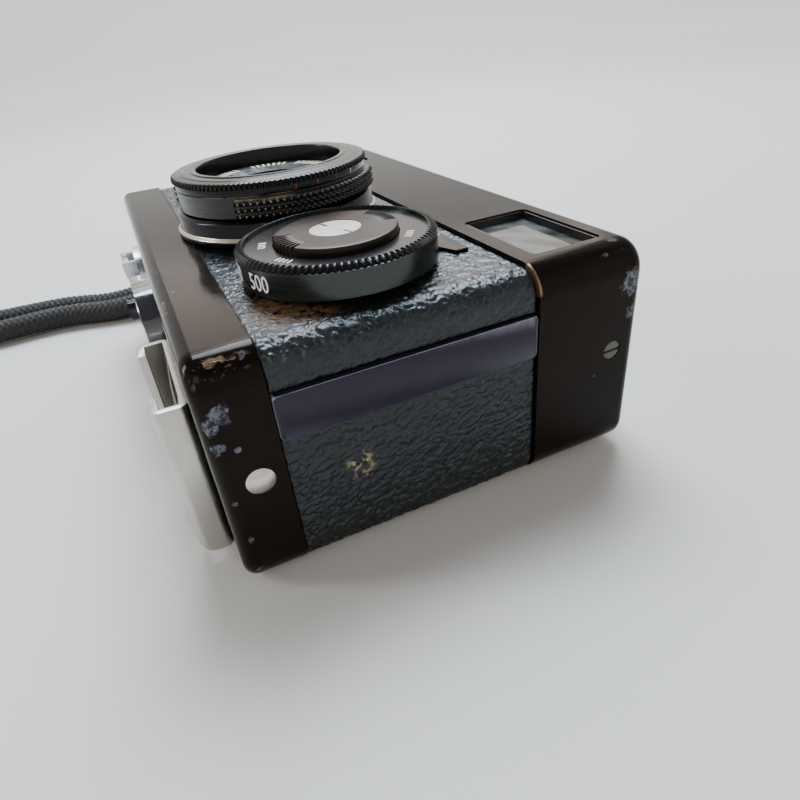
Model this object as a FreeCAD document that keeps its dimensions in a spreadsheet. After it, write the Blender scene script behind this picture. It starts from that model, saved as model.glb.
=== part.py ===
import FreeCAD, Part
import math
import os
import re

# Compact 35 mm viewfinder camera with a collapsible lens, lying on its back.
# +Z is the lens axis and points up, +Y points to the camera's top plate, and
# +X is the end that carries the advance lever. The origin is on the back's
# rest plane, at the centre of the body outline. Everything is in millimetres.

V = FreeCAD.Vector

SIZES = {
    # body outline
    "width": 97.0, "tall": 60.0, "depth": 32.0, "corner": 4.0, "cap_edge": 1.8, "crown_r": 4.6,
    "cap_wall": 1.0, "bottom_cap_h": 8.0, "top_cap_h": 17.0, "seam": 0.1,
    "recess": 0.5, "leather": 0.5, "shell_wall": 0.9, "rail_low": 20.2, "rail_high": 26.2,
    # chassis and film path
    "frame_back": 2.1, "frame_foot": -27.5, "deck": 13.0, "deck_t": 1.4, "film_z": 6.0,
    "gate_w": 36.0, "gate_h": 24.0, "film_half": 17.8, "axis_y": -6.2,
    "cassette_x": -33.0, "cassette_z": 15.2, "cassette_r": 12.9,
    "sprocket_x": 25.0, "sprocket_z": 12.0, "sprocket_r": 5.6, "spool_r": 7.0, "core_r": 5.0,
    # gears
    "gear_mod": 0.5, "lever_teeth": 36.0, "pinion_teeth": 12.0, "transfer_teeth": 25.0,
    "gear_t": 1.3, "hub_dx": 11.3, "shaft_r": 1.5, "fit": 0.05,
    # lens barrel
    "tube_r": 13.5, "tube_wall": 0.9, "tube_low": 10.5, "collar_r": 16.9, "collar_top": 35.8,
    "foot_r": 15.3, "grip_r": 15.6, "pad_r": 16.9, "grip_top": 39.2, "front_r": 16.0,
    "front_top": 41.5, "lip_r": 12.8, "mouth_r": 11.75, "skirt_low": 35.5,
    # optics and shutter
    "glass_r": 7.5, "cell_r": 11.5, "cell_low": 33.2, "cell_seat": 35.2, "cell_top": 38.2,
    "housing_low": 22.0, "housing_top": 32.4, "throat_r": 6.0, "blade_room_r": 12.1,
    "blade_low": 26.6, "blade_high": 27.8, "blade_pin_dy": 9.8, "rear_low": 14.5, "rear_seat": 19.0,
    # front dials
    "dial_x": 30.5, "dial_r": 13.2, "dial_low": 32.3, "dial_top": 36.6, "disc_r": 8.2,
    "disc_top": 37.1, "post_r": 3.4, "stem_r": 2.0, "knurl_depth": 0.45, "knurl_h": 0.65, "knurl_w": 1.2,
    # viewfinder
    "finder_x0": 26.4, "finder_x1": 42.6, "finder_y0": 16.0, "finder_y1": 26.2,
    # top plate fittings
    "button_x": -31.0, "button_z": 17.0, "button_r": 4.0, "latch_x": -12.0, "latch_r": 2.3,
    "needle_x": 3.0, "lever_r": 8.4,
    # underside fittings
    "shoe_x": 30.6, "shoe_half": 10.2, "shoe_z0": 1.5, "shoe_z1": 24.0, "shoe_drop": 4.4,
    "heel_r": 2.4,
    "slot_half": 9.3, "lip_half": 6.3, "boss_x": -8.0, "boss_z": 14.0, "boss_r": 9.6,
    "boss_drop": 3.2, "tripod_r": 3.175, "tripod_depth": 5.0, "bush_r": 6.0, "hub_r": 8.0,
    "counter_x": 12.0, "counter_z": 14.5, "counter_r": 7.6,
    # small hardware
    "rivet_y": -25.2, "rivet_z": 16.0, "rivet_r": 1.75, "screw_y": 25.6, "screw_z": 17.2, "screw_r": 1.35,
    "cord_r": 2.7,
}

doc = FreeCAD.newDocument("compact_camera")
sheet = doc.addObject("Spreadsheet::Sheet", "Sizes")
for row, (alias, number) in enumerate(SIZES.items(), start=1):
    sheet.set("A%d" % row, alias)
    sheet.set("B%d" % row, str(number))
    sheet.setAlias("B%d" % row, alias)
doc.recompute()

TURN = {
    "Z": FreeCAD.Rotation(),
    "Y": FreeCAD.Rotation(V(1, 0, 0), -90),
    "X": FreeCAD.Rotation(V(0, 1, 0), 90),
}
NODES = []


def size(alias):
    """The number behind an alias, read from the sheet."""
    return float(sheet.get(alias))


def bind(obj, prop, expression):
    """Tie a property to the sheet; words that are aliases become cell links."""
    linked = re.sub(r"[a-z_][a-z_0-9]*", lambda m: "Sizes." + m[0] if m[0] in SIZES else m[0], str(expression))
    obj.setExpression(prop, linked)


def place(obj, spot, axis="Z"):
    obj.Placement = FreeCAD.Placement(V(), TURN[axis])
    for letter, value in zip("xyz", spot):
        bind(obj, "Placement.Base." + letter, value)
    return obj


def node(name, obj):
    """Mark an object as a finished sub-part of the camera."""
    obj.Label = name
    NODES.append(obj)
    return obj


def cyl(radius, low, high, spot, axis="Z"):
    """Cylinder from low to high along its axis; spot is the other two coordinates."""
    obj = doc.addObject("Part::Cylinder", "Cylinder")
    bind(obj, "Radius", radius)
    bind(obj, "Height", "(%s) - (%s)" % (high, low))
    first, second = spot
    where = {"Z": (first, second, low), "Y": (first, low, second), "X": (low, first, second)}[axis]
    return place(obj, where, axis)


def cone(radius_low, radius_high, low, high, spot, axis="Z"):
    obj = doc.addObject("Part::Cone", "Cone")
    bind(obj, "Radius1", radius_low)
    bind(obj, "Radius2", radius_high)
    bind(obj, "Height", "(%s) - (%s)" % (high, low))
    first, second = spot
    where = {"Z": (first, second, low), "Y": (first, low, second), "X": (low, first, second)}[axis]
    return place(obj, where, axis)


def box(x_span, y_span, z_span):
    obj = doc.addObject("Part::Box", "Box")
    for prop, (low, high) in zip(("Length", "Width", "Height"), (x_span, y_span, z_span)):
        bind(obj, prop, "(%s) - (%s)" % (high, low))
    return place(obj, (x_span[0], y_span[0], z_span[0]))


def fuse(*parts):
    obj = doc.addObject("Part::MultiFuse", "Fuse")
    obj.Shapes = list(parts)
    obj.Refine = True
    return obj


def cut(base, *tools):
    obj = doc.addObject("Part::Cut", "Cut")
    obj.Base = base
    obj.Tool = tools[0] if len(tools) == 1 else fuse(*tools)
    obj.Refine = True
    return obj


def group(*parts):
    """Separate solids that share one node."""
    obj = doc.addObject("Part::Compound", "Group")
    obj.Links = list(parts)
    return obj


def rounded(obj, radius, picked):
    """Fillet the straight edges for which picked(edge) is true."""
    doc.recompute()
    edges = [(i, radius, radius) for i, e in enumerate(obj.Shape.Edges, start=1) if picked(e)]
    fillet = doc.addObject("Part::Fillet", "Fillet")
    fillet.Base = obj
    fillet.Edges = edges
    obj.Visibility = False
    return fillet


def along(edge, axis):
    if len(edge.Vertexes) < 2 or not isinstance(edge.Curve, (Part.Line, Part.LineSegment)):
        return False
    step = edge.Vertexes[1].Point - edge.Vertexes[0].Point
    return abs(abs(step.normalize().dot(axis)) - 1) < 1e-6


def body_slab(inset, y_span, rear=None):
    """Block with the body's outline, drawn in by inset (by rear at the back if that is given),
    with its four long corners rounded."""
    slab = box(("-width / 2 + %s" % inset, "width / 2 - (%s)" % inset), y_span,
               (rear or inset, "depth - (%s)" % inset))
    doc.recompute()
    corner = size("corner") - slab.Placement.Base.z
    return rounded(slab, corner, lambda edge: along(edge, V(0, 1, 0)))


def shaped(name, shape):
    """A sub-part whose outline is a formula rather than primitives."""
    obj = doc.addObject("Part::Feature", name)
    obj.Shape = shape
    return obj


def toothed_face(root, tip, count, centre, normal, phase=0.0, root_part=0.6, tip_part=0.3):
    """Gear or knurl outline: each tooth is a trapezium root_part wide at its foot."""
    pitch = 2 * math.pi / count
    points = []
    for tooth in range(count):
        middle = phase + tooth * pitch
        for radius, side in ((root, -root_part), (tip, -tip_part), (tip, tip_part), (root, root_part)):
            angle = middle + side * pitch / 2
            across, up = radius * math.cos(angle), radius * math.sin(angle)
            offset = V(across, up, 0) if normal == "Z" else V(across, 0, up)
            points.append(centre + offset)
    return Part.Face(Part.makePolygon(points + points[:1]))


def toothed_disc(root, tip, count, centre, normal, thick, bore, **tooth):
    """Toothed face made solid along its normal, with a round bore."""
    direction = V(0, 0, 1) if normal == "Z" else V(0, 1, 0)
    disc = toothed_face(root, tip, count, centre, normal, **tooth).extrude(direction * thick)
    if bore > 0:
        disc = disc.cut(Part.makeCylinder(bore, thick, centre, direction))
    return disc


def gear(teeth, spot, low, bore, phase):
    """Spur gear lying across the camera's height, teeth cut with backlash."""
    module = size("gear_mod")
    pitch_r = module * teeth / 2
    return toothed_disc(pitch_r - 1.15 * module, pitch_r + 0.7 * module, int(teeth),
                        V(spot[0], low, spot[1]), "Y", size("gear_t"), bore,
                        phase=phase, root_part=0.56, tip_part=0.2)


def domed_glass(radius, low, edge_high, dome_r, spot):
    """Lens element: a disc whose upper face is a part of a sphere."""
    x, y = spot
    rise = dome_r - math.sqrt(dome_r ** 2 - radius ** 2)
    ball = Part.makeSphere(dome_r, V(x, y, edge_high + rise - dome_r))
    rod = Part.makeCylinder(radius, edge_high + rise - low, V(x, y, low))
    return rod.common(ball)


PAD_STUDS, PAD_TURN, PAD_HALF = 106, 17.0, 52.0   # studs to the turn, degrees, degrees
FINE_KNURL, DIAL_KNURL, PAD_ROWS = 126, 96, 3
LENS = ("0", "axis_y")
SPEED = ("dial_x", "axis_y")
APERTURE = ("-dial_x", "axis_y")
SPROCKET = ("sprocket_x", "sprocket_z")
SPOOL = ("sprocket_x + gear_mod * transfer_teeth", "sprocket_z")
CASSETTE = ("cassette_x", "cassette_z")
HUB_DZ = "sqrt((gear_mod * (lever_teeth + pinion_teeth) / 2) ^ 2 - hub_dx ^ 2)"
LEVER = ("sprocket_x + hub_dx", "sprocket_z + " + HUB_DZ)
BUTTON = ("button_x", "button_z")
LATCH = ("latch_x", "button_z")
BOSS = ("boss_x", "boss_z")
COUNTER = ("counter_x", "counter_z")
CAP_IN = "tall / 2 - cap_wall"
FLOOR_OUT = "-tall / 2"
DECK_LOW = "deck - deck_t"


# ---------------------------------------------------------------- body

def main_frame():
    span = ("frame_foot", "deck")
    inner = body_slab("recess + leather + shell_wall + seam", span)
    front = cut(body_slab("recess + leather + seam", span),
                box(("-width", "width"), ("-tall", "tall"), ("-1", "rail_high + seam")))
    path = box(("-width / 2 + 3", "width / 2 - 3"), ("axis_y - film_half", DECK_LOW), ("0", "film_z"))
    gate = box(("-gate_w / 2", "gate_w / 2"), ("axis_y - gate_h / 2", "axis_y + gate_h / 2"),
               ("film_z - 1", "tube_low"))
    bore = cyl("tube_r + 1.1", "tube_low - 1", "depth + 1", LENS)
    cassette = cyl("cassette_r", "-tall", DECK_LOW, CASSETTE, "Y")
    cassette_mouth = box(("cassette_x - cassette_r + 0.6", "cassette_x + cassette_r"),
                         ("-tall", DECK_LOW), ("0", "cassette_z"))
    spool = cyl("spool_r + 0.6", "axis_y - film_half", DECK_LOW, SPOOL, "Y")
    spool_mouth = box(("%s - spool_r - 0.6" % SPOOL[0], "%s + spool_r + 0.6" % SPOOL[0]),
                      ("axis_y - film_half", DECK_LOW), ("0", "sprocket_z"))
    sprocket = cyl("sprocket_r + 0.7", "axis_y - film_half", DECK_LOW, SPROCKET, "Y")
    sprocket_bore = cyl("shaft_r + fit", "-tall", "tall", SPROCKET, "Y")
    spool_bore = cyl("shaft_r + fit", "frame_foot + 1", "tall", SPOOL, "Y")
    posts = [cyl("stem_r", "depth - 5", "depth + 1", spot) for spot in (SPEED, APERTURE)]
    bush_room = cyl("bush_r + 0.3", "-tall", "frame_foot + 2.6", BOSS, "Y")
    counter_pin = cyl("1 + fit", "-tall", "frame_foot + 2", COUNTER, "Y")
    solid = cut(fuse(inner, front), path, gate, bore, cassette, cassette_mouth, spool, spool_mouth,
                sprocket, sprocket_bore, spool_bore, *posts, bush_room, counter_pin)
    return node("main_frame", solid)


def crown_corner(inset):
    """What is cut from a slab to round the camera's edge between its top and its back."""
    corner = box(("-width", "width"), ("tall / 2 - crown_r", "tall"), ("-1", "crown_r"))
    return cut(corner, cyl("crown_r - (%s)" % inset, "-width", "width", ("tall / 2 - crown_r", "crown_r"), "X"))


def top_cap():
    span = ("tall / 2 - top_cap_h + seam / 2", "tall / 2")
    outer = body_slab("0", span)
    outer = rounded(outer, size("cap_edge"), lambda e: abs(e.BoundBox.YMin - size("tall") / 2) < 1e-3)
    outer = cut(outer, crown_corner("0"))
    inside = cut(body_slab("cap_wall", ("0", CAP_IN)), crown_corner("cap_wall"))
    window = box(("finder_x0 - 0.9", "finder_x1 + 0.9"), ("finder_y0 - 0.5", "finder_y1 + 0.4"),
                 ("depth - 3", "depth + 1"))
    window = rounded(window, 1.0, lambda e: along(e, V(0, 0, 1)))
    eyepiece = cyl("4.2", "-1", "3", ("(finder_x0 + finder_x1) / 2", "(finder_y0 + finder_y1) / 2"))
    cell = cyl("3.6", "depth - 3", "depth + 1", ("-dial_x - 4", "screw_y - 4.6"))
    lever = cyl("shaft_r + 0.5 + fit", "0", "tall", LEVER, "Y")
    button = cyl("button_r + fit", "0", "tall", BUTTON, "Y")
    latch = cyl("latch_r + fit", "0", "tall", LATCH, "Y")
    slot = box(("needle_x - 6", "needle_x + 7"), ("0", "tall"), ("button_z + 1", "button_z + 6"))
    holes = [cyl("screw_r - 0.4", "-width", "width", ("screw_y", "screw_z"), "X")]
    sinks = [cyl("screw_r + fit", "width / 2 - 0.5", "width / 2 + 1", ("screw_y", "screw_z"), "X"),
             cyl("screw_r + fit", "-width / 2 - 1", "-width / 2 + 0.5", ("screw_y", "screw_z"), "X")]
    return node("top_cap", cut(outer, inside, window, eyepiece, cell, lever, button, latch, slot,
                               *holes, *sinks))


def bottom_cap():
    span = (FLOOR_OUT, "-tall / 2 + bottom_cap_h")
    outer = body_slab("0", span)
    outer = rounded(outer, size("cap_edge"), lambda e: abs(e.BoundBox.YMax + size("tall") / 2) < 1e-3)
    inside = body_slab("cap_wall", ("-tall / 2 + 1.2", "0"))
    rivet_hole = cyl("1", "-width", "width", ("rivet_y", "rivet_z"), "X")
    crank = cyl("2 + fit", "-tall", "0", CASSETTE, "Y")
    key = cyl("bush_r + 1.3", "-tall", "0", BOSS, "Y")
    counter = cyl("2.4", "-tall", "0", ("counter_x", "counter_z + 4.5"), "Y")
    contact = cyl("1.6", "-tall", "0", ("shoe_x", "counter_z"), "Y")
    return node("bottom_cap", cut(outer, inside, rivet_hole, crank, key, counter, contact))


def back_shell():
    """Sheet shell of the sliding back: rear wall and both ends, reaching into the bottom cap."""
    span = ("-tall / 2 + 1.3", "tall / 2 - top_cap_h - seam")
    outer = body_slab("recess + leather", span)
    inside = body_slab("recess + leather + shell_wall", ("-tall", "tall"))
    front = box(("-width", "width"), ("-tall", "tall"), ("rail_low - seam", "depth + 1"))
    rivet_hole = cyl("1", "-width", "width", ("rivet_y", "rivet_z"), "X")
    return node("back_shell", cut(outer, inside, front, rivet_hole))


def back_leatherette():
    """Covering of the sliding back: sunk at the two ends, level with the caps at the rear."""
    span = ("-tall / 2 + bottom_cap_h + seam", "tall / 2 - top_cap_h - seam")
    outer = body_slab("recess", span, rear="0")
    inside = body_slab("recess + leather", ("-tall", "tall"))
    front = box(("-width", "width"), ("-tall", "tall"), ("rail_low - seam", "depth + 1"))
    return node("back_leatherette", cut(outer, inside, front))


def front_leatherette():
    span = ("-tall / 2 + bottom_cap_h + seam", "tall / 2 - top_cap_h - seam")
    outer = body_slab("recess", span)
    inside = body_slab("recess + leather + seam", ("-tall", "tall"))
    rear = box(("-width", "width"), ("-tall", "tall"), ("-1", "rail_high + seam"))
    collar = cyl("foot_r + seam", "0", "depth + 1", LENS)
    posts = [cyl("post_r + seam", "depth - 5", "depth + 1", spot) for spot in (SPEED, APERTURE)]
    return node("front_leatherette", cut(outer, inside, rear, collar, *posts))


def side_rails():
    """Guide rails between the front covering and the sliding back, one on each end."""
    y_span = ("-tall / 2 + bottom_cap_h + seam", "tall / 2 - top_cap_h - seam")
    rails = [box(x_span, y_span, ("rail_low", "rail_high"))
             for x_span in (("width / 2 - 2", "width / 2 + 0.1"), ("-width / 2 - 0.1", "-width / 2 + 2"))]
    return node("side_rails", group(*rails))


def cap_rivets():
    """Domed rivets that join the bottom cap to the back shell."""
    rivets = []
    for side in (1, -1):
        x = side * size("width") / 2
        shank_in = x - side * 1.9
        centre = V(x, size("rivet_y"), size("rivet_z"))
        shank = Part.makeCylinder(1.0, 1.9, V(shank_in, centre.y, centre.z), V(side, 0, 0))
        ball_r = 3.0
        rise = ball_r - math.sqrt(ball_r ** 2 - size("rivet_r") ** 2)
        ball = Part.makeSphere(ball_r, centre - V(side * (ball_r - rise), 0, 0))
        head = ball.common(Part.makeCylinder(size("rivet_r"), 2, centre, V(side, 0, 0)))
        rivets.append(shank.fuse(head).removeSplitter())
    return node("cap_rivets", shaped("RivetPair", Part.makeCompound(rivets)))


def cap_side_screws():
    """Slotted screws at the two ends of the top cap, heads just below the surface."""
    screws = []
    for shank_x, head_x, slot_x in (
            (("width / 2 - 3", "width / 2 - 0.5"), ("width / 2 - 0.5", "width / 2 - 0.1"),
             ("width / 2 - 0.3", "width / 2")),
            (("-width / 2 + 0.5", "-width / 2 + 3"), ("-width / 2 + 0.1", "-width / 2 + 0.5"),
             ("-width / 2", "-width / 2 + 0.3"))):
        shank = cyl("screw_r - 0.4", *shank_x, ("screw_y", "screw_z"), "X")
        head = cyl("screw_r", *head_x, ("screw_y", "screw_z"), "X")
        groove = box(slot_x, ("screw_y - 2", "screw_y + 2"), ("screw_z - 0.2", "screw_z + 0.2"))
        screws.append(cut(fuse(shank, head), groove))
    return node("cap_side_screws", group(*screws))


# ---------------------------------------------------------------- viewfinder

def viewfinder_housing():
    """Tapered tunnel behind the front window, ending in a round eyepiece seat."""
    x_span = ("finder_x0", "finder_x1")
    y_span = ("finder_y0 - 0.4", "finder_y1")
    front = box(x_span, y_span, ("depth / 2", "depth - 2.2"))
    rear = box(("finder_x0 + 2.6", "finder_x1 - 2.6"), ("finder_y0", "finder_y1 - 0.6"), ("1.8", "depth / 2"))
    front_room = box(("finder_x0 + 0.7", "finder_x1 - 0.7"), ("finder_y0 + 0.3", "finder_y1 - 0.7"),
                     ("depth / 2 + 0.7", "depth"))
    sight = cyl("3.6", "0", "depth", ("(finder_x0 + finder_x1) / 2", "(finder_y0 + finder_y1) / 2"))
    return node("viewfinder_housing", cut(fuse(front, rear), front_room, sight))


def viewfinder_bezel():
    """Dark frame that lines the window opening, with a ledge for the sunk front glass."""
    outer = box(("finder_x0 - 0.85", "finder_x1 + 0.85"), ("finder_y0 - 0.45", "finder_y1 + 0.35"),
                ("depth - 2.1", "depth - 0.2"))
    outer = rounded(outer, 0.95, lambda e: along(e, V(0, 0, 1)))
    hole = box(("finder_x0 + 0.6", "finder_x1 - 0.6"), ("finder_y0 + 0.6", "finder_y1 - 0.6"), ("0", "depth"))
    seat = box(("finder_x0 - 0.35", "finder_x1 + 0.35"), ("finder_y0 + 0.05", "finder_y1 - 0.15"),
               ("depth - 1.85", "depth"))
    return node("viewfinder_bezel", cut(outer, hole, seat))


def viewfinder_front_window():
    glass = box(("finder_x0 - 0.3", "finder_x1 + 0.3"), ("finder_y0 + 0.1", "finder_y1 - 0.2"),
                ("depth - 1.85", "depth - 1.3"))
    return node("viewfinder_front_window", glass)


def eyepiece_lens():
    spot = ("(finder_x0 + finder_x1) / 2", "(finder_y0 + finder_y1) / 2")
    flange = cyl("4.1", "0.5", "1.7", spot)
    body = cyl("3.5", "1.7", "3.4", spot)
    return node("eyepiece_lens", fuse(flange, body))


# ---------------------------------------------------------------- top plate controls

def shutter_button():
    """Release button with the tapped cone for a cable release."""
    stem = cyl("button_r", "tall / 2 - 4.2", "tall / 2 + 2", BUTTON, "Y")
    rim = cone("button_r", "button_r - 0.5", "tall / 2 + 2", "tall / 2 + 2.5", BUTTON, "Y")
    socket = cyl("1.6", "tall / 2 - 2.5", "tall / 2 + 3", BUTTON, "Y")
    foot = cyl("button_r + 0.9", "tall / 2 - 4.9", "tall / 2 - 4.2", BUTTON, "Y")
    return node("shutter_button", cut(fuse(stem, rim, foot), socket))


def shutter_button_collar():
    ring = cyl("button_r + 1.9", "tall / 2", "tall / 2 + 0.9", BUTTON, "Y")
    hole = cyl("button_r + fit", "0", "tall", BUTTON, "Y")
    return node("shutter_button_collar", cut(ring, hole))


def lens_release_button():
    """Button that frees the extended barrel so it can be pushed home."""
    stem = cyl("latch_r", "tall / 2 - 3.6", "tall / 2 + 1.3", LATCH, "Y")
    foot = cyl("latch_r + 0.8", "tall / 2 - 4.2", "tall / 2 - 3.6", LATCH, "Y")
    dish = cone("1", "1.8", "tall / 2 + 0.9", "tall / 2 + 1.31", LATCH, "Y")
    return node("lens_release_button", cut(fuse(stem, foot), dish))


def lever_arm():
    """The advance lever's plate: a round hub, an arm that reaches the back, and a thumb ridge."""
    hub_x, hub_z = centre_of(LEVER)
    low, thick, rear, up = size("tall") / 2 + 0.2, 1.6, 0.9, V(0, 1, 0)
    hub = Part.makeCylinder(size("lever_r"), thick, V(hub_x, low, hub_z), up)
    outline = [(hub_x - 7.2, hub_z - 4.2), (hub_x - 9.4, rear + 1.5), (hub_x - 6.8, rear),
               (hub_x + 3.4, rear), (hub_x + 5.2, hub_z - 6.5)]
    points = [V(x, low, z) for x, z in outline]
    arm = Part.Face(Part.makePolygon(points + points[:1])).extrude(up * thick)
    tip = [e for e in arm.Edges if abs(e.BoundBox.YLength - thick) < 1e-3 and e.BoundBox.ZMax < rear + 3]
    arm = arm.makeFillet(0.9, tip)
    thumb = Part.makeBox(9, 1.1, 2.2, V(hub_x - 7.6, low + thick, rear + 0.3))
    cap = Part.makeCylinder(size("lever_r") - 2, 0.8, V(hub_x, low + thick, hub_z), up)
    return hub.fuse([arm, thumb, cap]).removeSplitter()


def advance_lever():
    return node("advance_lever", shaped("LeverArm", lever_arm()))


# ---------------------------------------------------------------- film transport

def centre_of(spot):
    """Numbers for a (first, second) pair of expressions, read back through a scratch point."""
    probe = doc.addObject("Part::Vertex", "Probe")
    bind(probe, "X", spot[0])
    bind(probe, "Y", spot[1])
    doc.recompute()
    values = (probe.X.Value, probe.Y.Value)
    doc.removeObject(probe.Name)
    return values


def line_angle(start, end):
    return math.atan2(end[1] - start[1], end[0] - start[0])


def winding_gear():
    """Gear turned by the lever, on a short shaft through the top cap."""
    hub, pinion = centre_of(LEVER), centre_of(SPROCKET)
    low = size("tall") / 2 - size("cap_wall") - 0.6 - size("gear_t")
    wheel = gear(size("lever_teeth"), hub, low, 0, line_angle(hub, pinion))
    shaft_r = size("shaft_r") + 0.5
    shaft = Part.makeCylinder(shaft_r, size("tall") / 2 + 0.2 - low, V(hub[0], low, hub[1]), V(0, 1, 0))
    return node("winding_gear", shaped("WindingGear", wheel.fuse(shaft).removeSplitter()))


def sprocket_gears():
    """Pinion under the top cap and transfer gear on the deck, both on the sprocket shaft."""
    hub, own, spool = centre_of(LEVER), centre_of(SPROCKET), centre_of(SPOOL)
    pinion_teeth = int(size("pinion_teeth"))
    high = size("tall") / 2 - size("cap_wall") - 0.6 - size("gear_t")
    gap = line_angle(own, hub) + math.pi / pinion_teeth
    pinion = gear(pinion_teeth, own, high, size("shaft_r"), gap)
    transfer = gear(size("transfer_teeth"), own, size("deck") + 0.2, size("shaft_r"), line_angle(own, spool))
    return node("sprocket_gears", shaped("SprocketGears", Part.makeCompound([pinion, transfer])))


def film_sprocket():
    """Shaft with two rings of film teeth, eight to the turn."""
    x, z = centre_of(SPROCKET)
    radius, low = size("sprocket_r"), size("frame_foot") + 0.4
    high = size("tall") / 2 - size("cap_wall") - 0.4
    drum = Part.makeCylinder(size("shaft_r"), high - low, V(x, low, z), V(0, 1, 0))
    middle = size("axis_y")
    for side in (-1, 1):
        foot = middle + side * 13.6 - 1.1
        ring = toothed_disc(radius - 0.4, radius + 0.4, 8, V(x, foot, z), "Y", 2.2, 0,
                            root_part=0.34, tip_part=0.2)
        drum = drum.fuse(ring)
    barrel = Part.makeCylinder(radius - 1.2, 2 * 13.6, V(x, middle - 13.6, z), V(0, 1, 0))
    return node("film_sprocket", shaped("FilmSprocket", drum.fuse(barrel).removeSplitter()))


def take_up_spool():
    x, z = centre_of(SPOOL)
    own_low = size("axis_y") - size("film_half") + 0.2
    own_high = size("deck") - size("deck_t") - 0.2
    up = V(0, 1, 0)
    core = Part.makeCylinder(size("core_r"), own_high - own_low, V(x, own_low, z), up)
    for low in (own_low, own_high - 0.8):
        core = core.fuse(Part.makeCylinder(size("spool_r"), 0.8, V(x, low, z), up))
    for turn in range(3):
        angle = 2 * math.pi * turn / 3
        slit = Part.makeBox(1.6, 12, 1.0, V(size("core_r") - 1.4, size("axis_y") - 6, -0.5))
        slit.rotate(V(), up, math.degrees(angle))
        slit.translate(V(x, 0, z))
        core = core.cut(slit)
    teeth = size("transfer_teeth")
    own_gear = gear(teeth, (x, z), size("deck") + 0.2, 0,
                    line_angle(centre_of(SPOOL), centre_of(SPROCKET)) + math.pi / teeth)
    shaft = Part.makeCylinder(size("shaft_r"), size("deck") + 0.2 + size("gear_t") - size("frame_foot") - 1.2,
                              V(x, size("frame_foot") + 1.2, z), up)
    return node("take_up_spool", shaped("TakeUpSpool", core.fuse([shaft, own_gear]).removeSplitter()))


def counter_disc():
    """Frame counter under its window: a toothed disc on a short pin in the chassis foot."""
    x, z = centre_of(COUNTER)
    low = -size("tall") / 2 + 1.45
    disc = toothed_disc(size("counter_r") - 0.3, size("counter_r"), 40, V(x, low, z), "Y", 0.5, 0)
    pin = Part.makeCylinder(1.0, size("frame_foot") + 1.8 - low, V(x, low, z), V(0, 1, 0))
    return node("counter_disc", shaped("CounterDisc", disc.fuse(pin).removeSplitter()))


def counter_window():
    pane = cyl("2.4", FLOOR_OUT, "-tall / 2 + 0.9", ("counter_x", "counter_z + 4.5"), "Y")
    return node("counter_window", pane)


def pressure_plate():
    """Plate behind the film, hinged on a tube along its lower edge."""
    plate = box(("-23", "23"), ("axis_y - film_half + 1.8", "axis_y + film_half - 1"),
                ("film_z - 1.7", "film_z - 0.7"))
    barrel = cyl("0.9", "-12", "12", ("axis_y - film_half + 1.2", "film_z - 1.2"), "X")
    return node("pressure_plate", fuse(plate, barrel))


# ---------------------------------------------------------------- light meter

def meter_movement():
    """Galvanometer case below the needle window."""
    case = box(("needle_x - 7", "needle_x + 8"), ("deck + 1.9", "tall / 2 - 4"), ("7", "18"))
    case = rounded(case, 1.0, lambda e: along(e, V(0, 1, 0)))
    pivot = cyl("0.5", "tall / 2 - 4", "tall / 2 - 2.2", ("needle_x", "10"), "Y")
    return node("meter_movement", fuse(case, pivot))


def needle(level, width, name):
    """Thin pointer on the meter pivot, reaching forward under the window."""
    x = size("needle_x")
    hub = Part.makeCylinder(1.3, 0.3, V(x, level, 10), V(0, 1, 0))
    blade = Part.makeBox(width, 0.3, 11.4, V(x - width / 2, level, 10))
    bore = Part.makeCylinder(0.55, 1, V(x, level - 0.3, 10), V(0, 1, 0))
    return node(name, shaped(name, hub.fuse(blade).cut(bore).removeSplitter()))


def meter_window():
    pane = box(("needle_x - 5.9", "needle_x + 6.9"), ("tall / 2 - cap_wall + 0.2", "tall / 2 - 0.1"),
               ("button_z + 1.1", "button_z + 5.9"))
    return node("meter_window", pane)


def light_cell():
    """Photo-resistor disc with its two leads, behind its round window."""
    spot = ("-dial_x - 4", "screw_y - 4.6")
    disc = cyl("3.2", "depth - 4.4", "depth - 2.6", spot)
    legs = [cyl("0.3", "depth - 9", "depth - 4.4", ("-dial_x - 4 + %s" % dx, "screw_y - 4.6"))
            for dx in ("1.3", "-1.3")]
    return node("light_cell", fuse(disc, *legs))


def light_cell_window():
    spot = ("-dial_x - 4", "screw_y - 4.6")
    lens = cyl("3.6", "depth - 1.9", "depth - 0.3", spot)
    lip = cyl("4.2", "depth - 2.4", "depth - 1.9 + 0.85", spot)
    inner = cyl("4.3", "depth - cap_wall", "depth + 1", spot)
    return node("light_cell_window", fuse(lens, cut(lip, inner)))


def battery():
    can = cyl("7.8", "deck + 1.2", "deck + 6", ("-dial_x + 9", "12"), "Y")
    step = cyl("6.4", "deck + 6", "deck + 7.2", ("-dial_x + 9", "12"), "Y")
    return node("battery", fuse(can, step))


# ---------------------------------------------------------------- front dials

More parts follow.
